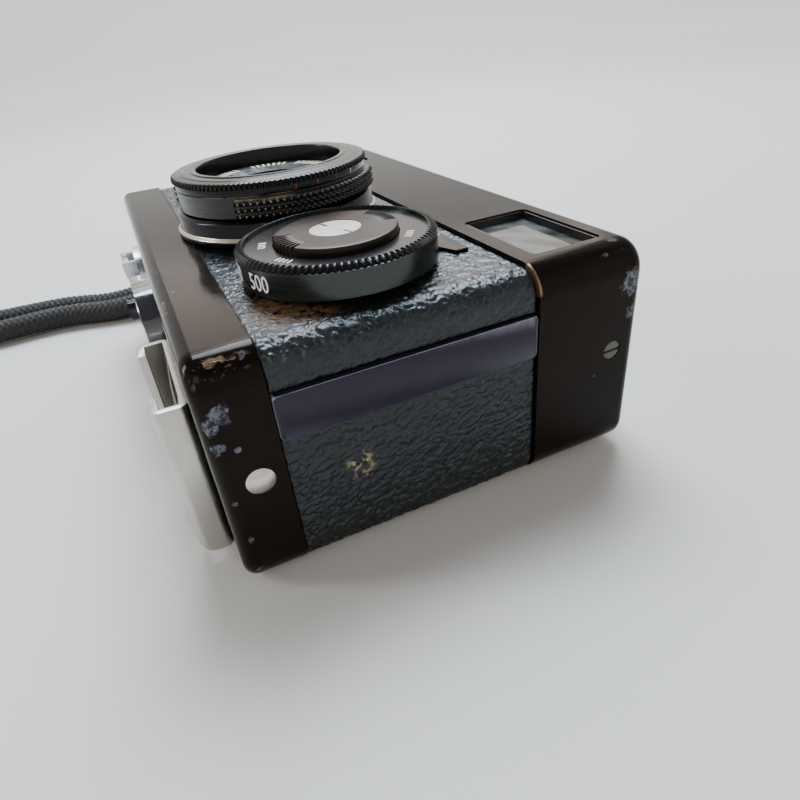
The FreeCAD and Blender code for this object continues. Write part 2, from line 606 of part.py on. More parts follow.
def dial(name, spot):
    """Setting dial: smooth skirt, bevelled coarse knurl, recessed scale ring and a bore."""
    x, y = centre_of(spot)
    radius, low, top = size("dial_r"), size("dial_low"), size("dial_top")
    knurl_h, knurl_w = size("knurl_h"), size("knurl_w")
    skirt = Part.makeCylinder(radius, top - knurl_h - low, V(x, y, low))
    crown = toothed_disc(radius - size("knurl_depth"), radius, DIAL_KNURL, V(x, y, top - knurl_h), "Z",
                         knurl_h, 0, root_part=0.9, tip_part=0.3)
    bevel = Part.makeCone(radius, radius - knurl_w + 0.2, knurl_h, V(x, y, top - knurl_h))
    recess = Part.makeCylinder(radius - knurl_w, 1.0, V(x, y, top - 0.6))
    seat = Part.makeCylinder(size("disc_r") + size("fit"), 1.2, V(x, y, top - 1.3))
    bore = Part.makeCylinder(size("post_r") - 0.6 + size("fit"), 9, V(x, y, low - 1))
    solid = skirt.fuse(crown.common(bevel)).removeSplitter().cut(recess).cut(seat).cut(bore)
    return node(name, shaped(name, solid))


def inner_disc(name, spot):
    """Reminder disc in the dial's middle, with two knurled finger sectors on its rim."""
    x, y = centre_of(spot)
    low, top = size("dial_top") - 1.2, size("disc_top")
    disc = Part.makeCylinder(size("disc_r"), top - 0.4 - low, V(x, y, low))
    crown = Part.makeCone(size("disc_r"), size("disc_r") - 0.4, 0.4, V(x, y, top - 0.4))
    bore = Part.makeCylinder(size("post_r") - 0.6 + size("fit"), 3, V(x, y, low - 1))
    sink = Part.makeCylinder(size("post_r") + size("fit"), 3, V(x, y, top - 0.7))
    return node(name, shaped(name, disc.fuse(crown).removeSplitter().cut(bore).cut(sink)))


def dial_posts():
    """Shouldered studs that hold both dials to the chassis front."""
    posts = []
    for spot in (SPEED, APERTURE):
        stem = cyl("stem_r", "depth - 4.9", "dial_low - 0.8", spot)
        shoulder = cyl("post_r", "depth - 1.1", "dial_low - 0.1", spot)
        neck = cyl("post_r - 0.6", "dial_low - 0.1", "disc_top - 0.65", spot)
        head = cyl("post_r", "disc_top - 0.65", "disc_top - 0.05", spot)
        posts.append(fuse(stem, shoulder, neck, head))
    return node("dial_posts", group(*posts))


def index_plates():
    """Pointed plates on the front covering that mark each dial's setting."""
    plates = []
    low = size("depth") - size("recess")
    reach = size("dial_r") + 0.4
    for side in (1, -1):
        x, y = side * size("dial_x") + 1.5, size("axis_y") + reach
        outline = [(x - 3.4, y + 3.3), (x - 3.4, y + 1.3), (x, y), (x + 3.4, y + 1.3), (x + 3.4, y + 3.3)]
        points = [V(px, py, low) for px, py in outline]
        plates.append(Part.Face(Part.makePolygon(points + points[:1])).extrude(V(0, 0, 0.5)))
    return node("index_plates", shaped("IndexPlates", Part.makeCompound(plates)))


# ---------------------------------------------------------------- lens

def lens_collar():
    """Fixed collar on the body front, waisted where it passes the caps."""
    foot = cyl("foot_r", "depth - 1.1", "depth + 0.1", LENS)
    collar = cyl("collar_r", "depth + 0.1", "collar_top - 0.5", LENS)
    bead = cone("collar_r", "collar_r - 0.5", "collar_top - 0.5", "collar_top", LENS)
    bore = cyl("tube_r + 0.1", "0", "depth * 2", LENS)
    return node("lens_collar", cut(fuse(foot, collar, bead), bore))


def guide_sleeve():
    """Bushing in the chassis that the barrel slides in."""
    sleeve = cyl("tube_r + 1.1", "tube_low + 1.5", "depth - 1.1", LENS)
    return node("guide_sleeve", cut(sleeve, cyl("tube_r + fit", "0", "depth", LENS)))


def barrel_tube():
    tube = cyl("tube_r", "tube_low", "grip_top", LENS)
    return node("barrel_tube", cut(tube, cyl("tube_r - tube_wall", "0", "depth * 2", LENS)))


def grip_ring():
    """Ring at the barrel's front, with two raised studded pads for pulling the lens out."""
    x, y = centre_of(LENS)
    low, top = size("collar_top") + 0.2, size("grip_top")
    ring = Part.makeCylinder(size("grip_r"), top - low, V(x, y, low))
    pad_low, pad_top = low + 0.15, top - 0.35
    studs = toothed_disc(size("pad_r") - 0.5, size("pad_r"), PAD_STUDS, V(x, y, pad_low), "Z",
                         pad_top - pad_low, size("grip_r") - 0.3, root_part=0.8, tip_part=0.45)
    pads = []
    for turn in (PAD_TURN, PAD_TURN + 180):
        sector = Part.makeCylinder(size("pad_r") + 1, top - low, V(x, y, low), V(0, 0, 1), 2 * PAD_HALF)
        sector.rotate(V(x, y, 0), V(0, 0, 1), turn - PAD_HALF)
        pads.append(studs.common(sector))
    solid = ring.fuse(pads).removeSplitter()
    for row in range(1, PAD_ROWS):
        level = pad_low + (pad_top - pad_low) * row / PAD_ROWS
        groove = Part.makeCylinder(size("pad_r") + 1, 0.3, V(x, y, level - 0.15))
        solid = solid.cut(groove.cut(Part.makeCylinder(size("pad_r") - 0.5, 0.3, V(x, y, level - 0.15))))
    solid = solid.cut(Part.makeCylinder(size("tube_r"), top - low, V(x, y, low)))
    return node("grip_ring", shaped("GripRing", solid))


def focus_ring():
    """Distance ring: smooth scale band, fine knurl, sloping front and a skirt in the barrel."""
    x, y = centre_of(LENS)
    low, top = size("grip_top") + 0.1, size("front_top")
    knurl_low, knurl_top = low + 1.0, top - 0.5
    band = Part.makeCylinder(size("front_r") - 0.4, knurl_low - low, V(x, y, low))
    knurl = toothed_disc(size("front_r") - 0.25, size("front_r"), FINE_KNURL, V(x, y, knurl_low), "Z",
                         knurl_top - knurl_low, 0, root_part=0.8, tip_part=0.3)
    slope = Part.makeCone(size("front_r") - 0.25, size("lip_r"), top - knurl_top, V(x, y, knurl_top))
    skirt_r, skirt_low = size("tube_r") - size("tube_wall") - size("fit"), size("skirt_low")
    skirt = Part.makeCylinder(skirt_r, low - skirt_low, V(x, y, skirt_low))
    bore = Part.makeCylinder(size("mouth_r"), top, V(x, y, skirt_low - 1))
    solid = band.fuse([knurl, slope, skirt]).removeSplitter().cut(bore)
    return node("focus_ring", shaped("FocusRing", solid))


def front_cell():
    """Threaded cell of the front element, moved along the axis by the distance ring."""
    outer = cyl("cell_r", "cell_low", "cell_top", LENS)
    seat = cyl("glass_r", "cell_seat", "cell_top + 1", LENS)
    stop = cyl("glass_r - 0.8", "cell_low - 1", "cell_top + 1", LENS)
    return node("front_cell", cut(outer, seat, stop))


def front_element():
    seat = size("cell_seat")
    glass = domed_glass(size("glass_r"), seat, seat + 2.0, 20.0, centre_of(LENS))
    return node("front_element", shaped("FrontElement", glass))


def name_ring():
    """Retaining ring over the front element, stepped down to the glass."""
    ring = cyl("cell_r", "cell_top", "cell_top + 0.6", LENS)
    throat = cone("glass_r", "glass_r + 1", "cell_top", "cell_top + 0.6", LENS)
    return node("name_ring", cut(ring, throat))


def shutter_housing():
    """Ring that carries the shutter blades in a slot, on two pivot pins."""
    body = cyl("tube_r - tube_wall", "housing_low", "housing_top", LENS)
    throat = cyl("throat_r", "housing_low - 1", "housing_top + 1", LENS)
    slot = cyl("blade_room_r", "blade_low", "blade_high", LENS)
    pins = [cyl("0.5", "blade_low", "blade_high", ("0", "axis_y %s blade_pin_dy" % sign)) for sign in "+-"]
    return node("shutter_housing", fuse(cut(body, throat, slot), *pins))


def shutter_blade(name, side, level):
    """Half of the light seal: covers one side of the throat, pivots on its housing pin."""
    x, y = centre_of(LENS)
    thick, radius, pin_y = 0.2, size("throat_r") + 0.6, y + size("blade_pin_dy")
    plate = Part.makeCylinder(radius, thick, V(x, y, level))
    half = Part.makeBox(radius + 1, 2 * radius + 2, 1, V(x - radius - 0.4, y - radius - 1, level - 0.4))
    plate = plate.common(half)
    arm = Part.makeBox(2.0, 5.0, thick, V(x - 1.4, y + 5.2, level))
    eye = Part.makeCylinder(1.4, thick, V(x, pin_y, level))
    blade = plate.fuse([arm, eye]).cut(Part.makeCylinder(0.5 + size("fit"), 1, V(x, pin_y, level - 0.4)))
    if side > 0:
        blade.rotate(V(x, y, 0), V(0, 0, 1), 180)
    return node(name, shaped(name, blade.removeSplitter()))


def rear_cell():
    outer = cyl("glass_r + 2.5", "rear_low", "housing_low", LENS)
    seat = cyl("glass_r", "rear_low - 1", "rear_seat", LENS)
    stop = cyl("glass_r - 1.2", "rear_low - 1", "housing_low + 1", LENS)
    return node("rear_cell", cut(outer, seat, stop))


def rear_element():
    return node("rear_element", cyl("glass_r", "rear_low + 0.7", "rear_seat", LENS))


# ---------------------------------------------------------------- underside

def hot_shoe():
    """Accessory shoe: a channel along the camera's depth with inward lips."""
    outer = box(("shoe_x - shoe_half", "shoe_x + shoe_half"), ("-tall / 2 - shoe_drop", FLOOR_OUT),
                ("shoe_z0", "shoe_z1"))
    outer = rounded(outer, 1.2, lambda e: along(e, V(0, 0, 1)))
    heel = cut(box(("0", "width"), ("-tall", "-tall / 2 - shoe_drop + heel_r"), ("0", "shoe_z0 + heel_r")),
               cyl("heel_r", "0", "width", ("-tall / 2 - shoe_drop + heel_r", "shoe_z0 + heel_r"), "X"))
    room = box(("shoe_x - slot_half", "shoe_x + slot_half"), ("-tall / 2 - shoe_drop + 1", "-tall / 2 - 0.9"),
               ("0", "shoe_z1 + 1"))
    mouth = box(("shoe_x - lip_half", "shoe_x + lip_half"), ("-tall", "-tall / 2 - 2"), ("0", "shoe_z1 + 1"))
    contact = cyl("1.6", "-tall", "0", ("shoe_x", "counter_z"), "Y")
    return node("hot_shoe", cut(outer, room, mouth, contact, heel))


def shoe_spring():
    """Leaf spring lying in the shoe, bowed so it presses on a fitted foot."""
    x0, x1 = size("shoe_x") - size("slot_half") + 0.4, size("shoe_x") + size("slot_half") - 0.4
    base, z0, z1 = -size("tall") / 2 - 0.95, size("shoe_z0") + 2, size("shoe_z1") - 1
    middle = (z0 + z1) / 2
    strips = []
    for low, high in ((x0, x0 + 3.4), (x1 - 3.4, x1)):
        outer = Part.Arc(V(low, base, z0), V(low, base - 1.1, middle), V(low, base, z1)).toShape()
        inner = Part.Arc(V(low, base + 0.04, z0), V(low, base - 0.8, middle), V(low, base + 0.04, z1)).toShape()
        ends = [Part.makeLine(V(low, base, z), V(low, base + 0.04, z)) for z in (z0, z1)]
        face = Part.Face(Part.Wire(Part.__sortEdges__([outer, inner] + ends)))
        strips.append(face.extrude(V(high - low, 0, 0)))
    tie = Part.makeBox(x1 - x0, 0.25, 1.6, V(x0, base - 0.2, z0 - 1.55))
    return node("shoe_spring", shaped("ShoeSpring", Part.makeCompound(strips + [tie])))


def shoe_contact():
    """Centre contact in its insulating sleeve."""
    sleeve = cyl("1.55", "-tall / 2 - 0.95", "-tall / 2 + 1.2", ("shoe_x", "counter_z"), "Y")
    pin = cyl("0.9", "-tall / 2 - 1.3", "-tall / 2 - 0.9", ("shoe_x", "counter_z"), "Y")
    return node("shoe_contact", fuse(sleeve, pin))


def tripod_bush():
    """Threaded bush that fixes the lock key's bearing to the bottom cap."""
    flange = cyl("bush_r", "-tall / 2 - boss_drop - 0.3", "-tall / 2 + 4", BOSS, "Y")
    thread = cyl("tripod_r", "-tall", "-tall / 2 - boss_drop - 0.3 + tripod_depth", BOSS, "Y")
    foot = cyl("bush_r + 2.6", "-tall / 2 + 1.2", "-tall / 2 + 1.7", BOSS, "Y")
    return node("tripod_bush", cut(fuse(flange, foot), thread))


def lock_key():
    """Back lock around the tripod bush: a glossy ring with a finger tab."""
    x, z = centre_of(BOSS)
    low, drop = -size("tall") / 2 - size("boss_drop"), size("boss_drop") - 0.15
    ring = Part.makeCylinder(size("boss_r"), drop, V(x, low, z), V(0, 1, 0))
    tab = Part.makeBox(7.0, drop, 8.4, V(x - size("boss_r") - 3.2, low, z - 4.2))
    tab = tab.makeFillet(1.6, [e for e in tab.Edges if e.BoundBox.XMax < x - size("boss_r") and
                               abs(e.BoundBox.YLength - drop) < 1e-3])
    neck = Part.makeCylinder(size("bush_r") + 1.2, 1.3, V(x, low + drop, z), V(0, 1, 0))
    bore = Part.makeCylinder(size("bush_r") + size("fit"), 12, V(x, low - 1, z), V(0, 1, 0))
    key = ring.fuse([tab, neck]).cut(bore).removeSplitter()
    return node("lock_key", shaped("LockKey", key))


def rewind_hub():
    """Rewind disc on the bottom cap with the ears for the crank and the film fork."""
    disc = cyl("hub_r", "-tall / 2 - 1.5", "-tall / 2 - 0.1", CASSETTE, "Y")
    stem = cyl("2", "-tall / 2 - 0.1", "-tall / 2 + 7.5", CASSETTE, "Y")
    blade = box(("cassette_x - 2.6", "cassette_x + 2.6"), ("-tall / 2 + 5.5", "-tall / 2 + 7.5"),
                ("cassette_z - 0.6", "cassette_z + 0.6"))
    ears = [box(("cassette_x %s" % lo, "cassette_x %s" % hi), ("-tall / 2 - 4.2", "-tall / 2 - 1.4"),
                ("cassette_z + 3.4", "cassette_z + 6.4")) for lo, hi in (("- 4.2", "- 2.9"), ("+ 2.9", "+ 4.2"))]
    pin = cyl("0.6", "cassette_x - 4.2", "cassette_x + 4.2", ("-tall / 2 - 3.2", "cassette_z + 4.9"), "X")
    return node("rewind_hub", fuse(disc, stem, blade, *ears, pin))


def crank_arm():
    """Folding arm, flat on the hub at rest."""
    bar = box(("cassette_x - 2.7", "cassette_x + 2.7"), ("-tall / 2 - 4.1", "-tall / 2 - 2.4"),
              ("cassette_z - 7.6", "cassette_z + 6.1"))
    bar = rounded(bar, 0.8, lambda e: along(e, V(1, 0, 0)) and e.BoundBox.ZMax > size("cassette_z"))
    hole = cyl("0.6 + fit", "-width", "width", ("-tall / 2 - 3.2", "cassette_z + 4.9"), "X")
    rivet = cyl("0.8 + fit", "-tall", "tall", ("cassette_x", "cassette_z - 5.2"), "Y")
    return node("crank_arm", cut(bar, hole, rivet))


def crank_knob():
    """Finger button that spins on the crank arm's end."""
    x = ("cassette_x", "cassette_z - 5.2")
    knob = cyl("2.3", "-tall / 2 - 6", "-tall / 2 - 4.15", x, "Y")
    stem = cyl("0.8", "-tall / 2 - 4.15", "-tall / 2 - 2.35", x, "Y")
    head = cyl("1.2", "-tall / 2 - 2.35", "-tall / 2 - 2", x, "Y")
    return node("crank_knob", fuse(knob, stem, head))


# ---------------------------------------------------------------- strap

def strap_lug():
    """Bent eye on the far guide rail for the wrist cord."""
    low, high = "-width / 2 - 4.1", "-width / 2 - 0.1"
    eye = box((low, high), ("axis_y - 3.4", "axis_y + 3.4"), ("rail_low + 1.6", "rail_low + 2.8"))
    eye = rounded(eye, 1.8, lambda e: along(e, V(0, 0, 1)) and e.BoundBox.XMax < -size("width") / 2 - 1)
    hole = box(("-width / 2 - 2.9", "-width / 2 - 1.3"), ("axis_y - 2.2", "axis_y + 2.2"), ("0", "depth"))
    return node("strap_lug", cut(eye, hole))


def swept(points, radius):
    """Round cord along a smooth curve through the points."""
    curve = Part.BSplineCurve()
    curve.interpolate(points)
    start = curve.tangent(curve.FirstParameter)[0]
    profile = Part.Wire(Part.makeCircle(radius, points[0], start))
    return Part.Wire(curve.toShape()).makePipeShell([profile], True, True)


def wrist_strap():
    """Wrist cord folded double: a thin loop in the eye, a sleeve, then both cords down to the
    table and away past the camera's underside."""
    radius = size("cord_r")
    end, lie = -size("width") / 2, radius + 0.2
    # each point: distance out from the body's end, place along the height, height above the table
    near = [V(end - out, y, z) for out, y, z in (
        (3.6, -10, 17.5), (4.2, -16, 12.2), (5.6, -26, 5.6), (8.1, -39, lie), (12, -52, lie),
        (11.9, -66, lie), (10.6, -80, lie))]
    apart = (5.8, 5.8, 5.8, 5.8, 6.6, 8.2, 10.6)
    far = [p - V(gap, 0, 0) for p, gap in zip(near, apart)]
    tip = (near[-1] + far[-1]) * 0.5
    bend = [tip + V(4.4, -5, 0), tip + V(0, -7.4, 0), tip + V(-4.4, -5, 0)]
    cord = swept(near + bend + far[::-1], radius)
    top = (near[0] + far[0]) * 0.5
    down = (near[1] - near[0]).normalize()
    wide, deep, tall = apart[0] + 2 * radius + 0.7, 2 * radius + 1, 5
    sleeve = Part.makeBox(wide, deep, tall, V(-wide / 2, -deep / 2, -tall / 2))
    sleeve = sleeve.makeFillet(radius - 0.3, [e for e in sleeve.Edges if abs(e.BoundBox.ZLength - tall) < 1e-3])
    sleeve.Placement = FreeCAD.Placement(top, FreeCAD.Rotation(V(0, 0, 1), down))
    bar = V(end - 3.5, size("axis_y"), size("rail_low") + 2.2)
    loop = Part.makeTorus(1.5, 0.6, bar, V(0, 1, 0))
    foot = bar - V(0, 0, 1.9)
    neck = Part.makeCylinder(0.9, (top - foot).Length, foot, top - foot)
    solid = cord.fuse([sleeve, neck, loop]).removeSplitter()
    return node("wrist_strap", shaped("WristStrap", solid))


def build():
    for make in (main_frame, top_cap, bottom_cap, back_shell, back_leatherette, front_leatherette,
                 side_rails, cap_rivets, cap_side_screws, viewfinder_housing, viewfinder_bezel,
                 viewfinder_front_window, eyepiece_lens, shutter_button, shutter_button_collar,
                 lens_release_button, advance_lever, winding_gear, sprocket_gears, film_sprocket,
                 take_up_spool, counter_disc, counter_window, pressure_plate, meter_movement,
                 meter_window, light_cell, light_cell_window, battery, dial_posts, index_plates,
                 lens_collar, guide_sleeve, barrel_tube, grip_ring, focus_ring, front_cell,
                 front_element, name_ring, shutter_housing, rear_cell, rear_element, hot_shoe,
                 shoe_spring, shoe_contact, tripod_bush, lock_key, rewind_hub, crank_arm,
                 crank_knob, strap_lug, wrist_strap):
        make()
    needle(size("tall") / 2 - 3.6, 0.5, "meter_needle")
    needle(size("tall") / 2 - 2.9, 0.9, "meter_pointer")
    dial("speed_dial", SPEED)
    dial("aperture_dial", APERTURE)
    inner_disc("film_type_disc", SPEED)
    inner_disc("film_speed_disc", APERTURE)
    shutter_blade("shutter_blade_left", -1, size("blade_low") + 0.3)
    shutter_blade("shutter_blade_right", 1, size("blade_low") + 0.7)


build()
doc.recompute()
broken = [obj.Label for obj in doc.Objects if "Invalid" in obj.State or "Error" in obj.State]
broken += [obj.Label for obj in NODES if obj.Shape.isNull() or not obj.Shape.isValid()]
if broken:
    raise SystemExit("not built: " + ", ".join(broken))
os.makedirs("parts", exist_ok=True)
for obj in NODES:
    obj.Shape.exportStep("parts/%s.step" % obj.Label)
print(len(NODES), "nodes written")
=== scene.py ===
import math

import bpy
from mathutils import Matrix, Vector, noise


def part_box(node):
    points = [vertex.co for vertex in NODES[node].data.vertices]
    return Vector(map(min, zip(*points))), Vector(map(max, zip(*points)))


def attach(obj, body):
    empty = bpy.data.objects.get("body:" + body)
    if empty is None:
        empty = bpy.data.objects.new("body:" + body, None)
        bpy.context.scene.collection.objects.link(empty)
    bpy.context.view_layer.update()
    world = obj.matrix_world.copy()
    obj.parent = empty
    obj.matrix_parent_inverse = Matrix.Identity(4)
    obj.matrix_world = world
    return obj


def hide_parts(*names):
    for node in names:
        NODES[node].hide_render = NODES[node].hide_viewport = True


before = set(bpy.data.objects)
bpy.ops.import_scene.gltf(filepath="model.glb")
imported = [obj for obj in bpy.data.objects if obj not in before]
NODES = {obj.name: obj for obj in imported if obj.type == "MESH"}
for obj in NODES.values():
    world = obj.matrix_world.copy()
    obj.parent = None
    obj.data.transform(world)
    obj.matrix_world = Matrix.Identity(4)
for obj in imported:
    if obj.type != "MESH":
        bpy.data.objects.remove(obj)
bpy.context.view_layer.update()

MM = 0.001

# teeth, ridges and studs to the turn
DIAL_TEETH, DISC_RIDGES, RING_TEETH, PAD_STUDS = 96, 66, 126, 106
# middle and half width in degrees of the sectors that carry the studs and the ridges
STUD_SECTOR, RIDGE_SECTOR = (17, 52), (-81, 23)
# in mm: depth of a dial's scale ring, and height of printed marks above their face
SCALE_SINK, INK = 0.62, 0.03
ANODISED = (0.008, 0.008, 0.009)
# without a seed Blender bends the covering's creases differently in each run
GRAIN_SEED = 7


# ---------------------------------------------------------------- places, from the frame

def centre(node):
    low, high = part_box(node)
    return (low + high) / 2


def low(node):
    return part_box(node)[0]


def high(node):
    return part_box(node)[1]


def turned_size(node, spot):
    """Radius, lowest and highest level, in mm, of a CAD node turned round spot."""
    return (high(node).x - spot.x) / MM, low(node).z / MM, high(node).z / MM


BODY_LOW, BODY_HIGH = low("bottom_cap"), high("top_cap")
FRONT = BODY_HIGH.z
LENS = centre("lens_collar")
SPEED = centre("speed_dial")
APERTURE = centre("aperture_dial")


# ---------------------------------------------------------------- mesh tools

def add_mesh(name, points, faces, body, material, smooth=True, replaces=()):
    """Makes a mesh piece in the row frame and lets it ride on a CAD body."""
    mesh = bpy.data.meshes.new(name)
    mesh.from_pydata([tuple(p) for p in points], [], [tuple(f) for f in faces])
    mesh.update()
    obj = bpy.data.objects.new(name, mesh)
    bpy.context.scene.collection.objects.link(obj)
    mesh.materials.append(material)
    for polygon in mesh.polygons:
        polygon.use_smooth = smooth
    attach(obj, body)
    if replaces:
        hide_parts(*replaces)
    return obj


def by_angle(obj, degrees=32):
    """Smooth shading with creases kept: only the shading changes, not the shape."""
    bpy.context.view_layer.objects.active = obj
    for other in bpy.context.selected_objects:
        other.select_set(False)
    obj.select_set(True)
    bpy.ops.object.shade_smooth_by_angle(angle=math.radians(degrees))
    obj.select_set(False)


def soften(obj, width_mm, segments):
    """Small bevel on sharp edges, so they catch the light. The faces are joined first, by a modifier."""
    joined = obj.modifiers.new("joined_faces", "WELD")
    joined.merge_threshold = 1e-6
    bevel = obj.modifiers.new("soft_edges", "BEVEL")
    bevel.width = width_mm * MM
    bevel.segments = segments
    bevel.limit_method = "ANGLE"
    bevel.angle_limit = math.radians(40)
    bevel.harden_normals = True


def lathe(name, node, profile, spot, turns, body, material, wave=None, crease=35):
    """Closed ring turned round a +Z axis at spot, in place of a CAD node. profile is (radius, height)
    in mm, in row-frame heights, counter-clockwise; wave(i, angle) gives a change of both in mm."""
    rows = len(profile)
    points, faces = [], []
    for step in range(turns):
        angle = 2 * math.pi * step / turns
        for i, (radius, level) in enumerate(profile):
            shift_r, shift_z = wave(i, angle) if wave else (0, 0)
            r = (radius + shift_r) * MM
            points.append((spot.x + r * math.cos(angle), spot.y + r * math.sin(angle),
                           (level + shift_z) * MM))
        a, b = step * rows, (step + 1) % turns * rows
        for i in range(rows):
            j = (i + 1) % rows
            faces.append((a + i, b + i, b + j, a + j))
    obj = add_mesh(name, points, faces, body, material, replaces=(node,))
    by_angle(obj, crease)


def steps(radius, level, *moves):
    """Profile points, given as (outward, upward) distances in mm from one radius and level."""
    return [(radius + out, level + up) for out, up in moves]


def ring_walls(rings, count, closed=False):
    """Faces between rings of count points. closed joins the last ring to the first; otherwise the
    two end rings are filled."""
    faces = []
    for row in range(rings if closed else rings - 1):
        a, b = row * count, (row + 1) % rings * count
        faces += [(a + k, a + (k + 1) % count, b + (k + 1) % count, b + k) for k in range(count)]
    if not closed:
        last = (rings - 1) * count
        faces += [range(count)[::-1], range(last, last + count)]
    return faces


def in_sector(angle, sector):
    """Whether an angle lies in a sector, (middle, half width) in degrees, or in the one opposite."""
    middle, half = sector
    off = (angle - math.radians(middle) + math.pi / 2) % math.pi - math.pi / 2
    return abs(off) <= math.radians(half)


def tooth(angle, count, sharp=0.5):
    """Rounded trapezium wave between 0 and 1, count to the turn."""
    phase = (angle * count / (2 * math.pi)) % 1.0
    ridge = abs(phase - 0.5) * 2
    return max(0.0, min(1.0, (ridge - 0.5 + sharp / 2) / sharp))


# ---------------------------------------------------------------- material tools

class Look:
    """A small wrapper over one material's node tree."""

    def __init__(self, name):
        self.material = bpy.data.materials.new(name)
        self.material.use_nodes = True
        self.tree = self.material.node_tree
        self.shader = self.tree.nodes["Principled BSDF"]
        self.coords = self.node("ShaderNodeTexCoord")

    def node(self, kind, **settings):
        made = self.tree.nodes.new(kind)
        for key, value in settings.items():
            setattr(made, key, value)
        return made

    def put(self, source, target):
        self.tree.links.new(source, target)

    def feed(self, target, value):
        """Connects a socket, or sets a plain number or colour."""
        if isinstance(value, bpy.types.NodeSocket):
            self.put(value, target)
        elif isinstance(value, (tuple, list)) and len(value) == 3 and target.type == "RGBA":
            target.default_value = (*value, 1.0)
        else:
            target.default_value = value

    def set(self, **inputs):
        for key, value in inputs.items():
            self.feed(self.shader.inputs[key.replace("_", " ")], value)
        return self

    @property
    def place(self):
        return self.coords.outputs["Object"]

    @property
    def normal(self):
        return self.coords.outputs["Normal"]

    def scaled(self, x, y, z, source=None):
        mapping = self.node("ShaderNodeMapping")
        self.put(source or self.place, mapping.inputs["Vector"])
        mapping.inputs["Scale"].default_value = (x, y, z)
        return mapping.outputs["Vector"]

    def noise(self, scale, detail=4.0, rough=0.55, source=None, distortion=0.0):
        made = self.node("ShaderNodeTexNoise")
        self.put(source or self.place, made.inputs["Vector"])
        made.inputs["Scale"].default_value = scale
        made.inputs["Detail"].default_value = detail
        made.inputs["Roughness"].default_value = rough
        made.inputs["Distortion"].default_value = distortion
        return made.outputs["Fac"]

    def cells(self, scale, feature="F1", source=None):
        made = self.node("ShaderNodeTexVoronoi", feature=feature)
        self.put(source or self.place, made.inputs["Vector"])
        made.inputs["Scale"].default_value = scale
        return made.outputs["Distance"]

    def span(self, source, low_in, high_in, low_out=0.0, high_out=1.0):
        """Maps a value from one range to another along a smooth step, clamped."""
        made = self.node("ShaderNodeMapRange", interpolation_type="SMOOTHSTEP")
        self.put(source, made.inputs["Value"])
        ends = {"From Min": low_in, "From Max": high_in, "To Min": low_out, "To Max": high_out}
        for key, value in ends.items():
            self.feed(made.inputs[key], value)
        return made.outputs["Result"]

    def math(self, operation, first, second=0.0):
        made = self.node("ShaderNodeMath", operation=operation)
        self.feed(made.inputs[0], first)
        self.feed(made.inputs[1], second)
        return made.outputs[0]

    def times(self, first, *others):
        product = first
        for other in others:
            product = self.math("MULTIPLY", product, other)
        return product

    def plus(self, first, second):
        return self.math("ADD", first, second)

    def larger(self, first, second):
        return self.math("MAXIMUM", first, second)

    def mix(self, factor, first, second):
        made = self.node("ShaderNodeMix", data_type="RGBA")
        self.feed(made.inputs[0], factor)
        self.feed(made.inputs[6], first)
        self.feed(made.inputs[7], second)
        return made.outputs[2]

    def blend(self, factor, first, second):
        made = self.node("ShaderNodeMix", data_type="FLOAT")
        self.feed(made.inputs[0], factor)
        self.feed(made.inputs[2], first)
        self.feed(made.inputs[3], second)
        return made.outputs[0]

    def bump(self, source, strength, distance_mm):
        made = self.node("ShaderNodeBump")
        made.inputs["Strength"].default_value = strength
        made.inputs["Distance"].default_value = distance_mm * MM
        self.put(source, made.inputs["Height"])
        return made.outputs["Normal"]

    def distance(self, spot, source=None):
        """Distance from a point of the row frame."""
        made = self.node("ShaderNodeVectorMath", operation="DISTANCE")
        self.put(source or self.place, made.inputs[0])
        made.inputs[1].default_value = spot
        return made.outputs["Value"]

    def off_axis(self, spot):
        """Distance from the upright axis through a point."""
        flat = self.node("ShaderNodeVectorMath", operation="MULTIPLY")
        self.put(self.place, flat.inputs[0])
        flat.inputs[1].default_value = (1.0, 1.0, 0.0)
        return self.distance((spot.x, spot.y, 0.0), flat.outputs["Vector"])

    def near(self, spot, reach_mm):
        """1 at a point of the row frame, fading to 0 at reach."""
        return self.span(self.distance(spot), 0.0, reach_mm * MM, 1.0, 0.0)

    def turning(self):
        """Fine marks that a lathe leaves on a part turned round Z."""
        return self.noise(300, 3, source=self.scaled(0.15, 0.15, 30.0))

    def tilt(self):
        """The normal's upward part: 1 on level faces, 0 on upright ones."""
        return self.part(self.normal, 2)

    def part(self, source, index):
        """One of a vector's three numbers."""
        parts = self.node("ShaderNodeSeparateXYZ")
        self.put(source, parts.inputs[0])
        return parts.outputs[index]

    def edge(self, narrow, wide):
        """1 along rounded edges, where the normal points between two axes."""
        size = self.node("ShaderNodeVectorMath", operation="ABSOLUTE")
        self.put(self.normal, size.inputs[0])
        parts = [self.part(size.outputs["Vector"], index) for index in range(3)]
        largest = self.larger(self.larger(parts[0], parts[1]), parts[2])
        return self.span(largest, narrow, wide, 1.0, 0.0)


def body_point(x_share, y_share, z_share):
    """A point inside the body's outline: shares run from 0 at the low side to 1 at the high side."""
    span = BODY_HIGH - BODY_LOW
    return (BODY_LOW.x + span.x * x_share, BODY_LOW.y + span.y * y_share, span.z * z_share)


def nearest(look, places):
    """The largest of the fades round several places."""
    fade = 0.0
    for *shares, reach in places:
        fade = look.larger(fade, look.near(body_point(*shares), reach))
    return fade


def rubbed_seam(look, spot, reach):
    """1 on a stretch of a part's cut edge, which faces -Y at spot."""
    rim = look.span(look.part(look.place, 1), spot[1] + 0.28 * MM, spot[1] + 0.38 * MM, 1.0, 0.0)
    return look.times(look.span(look.near(spot, reach), 0.1, 0.3), rim)


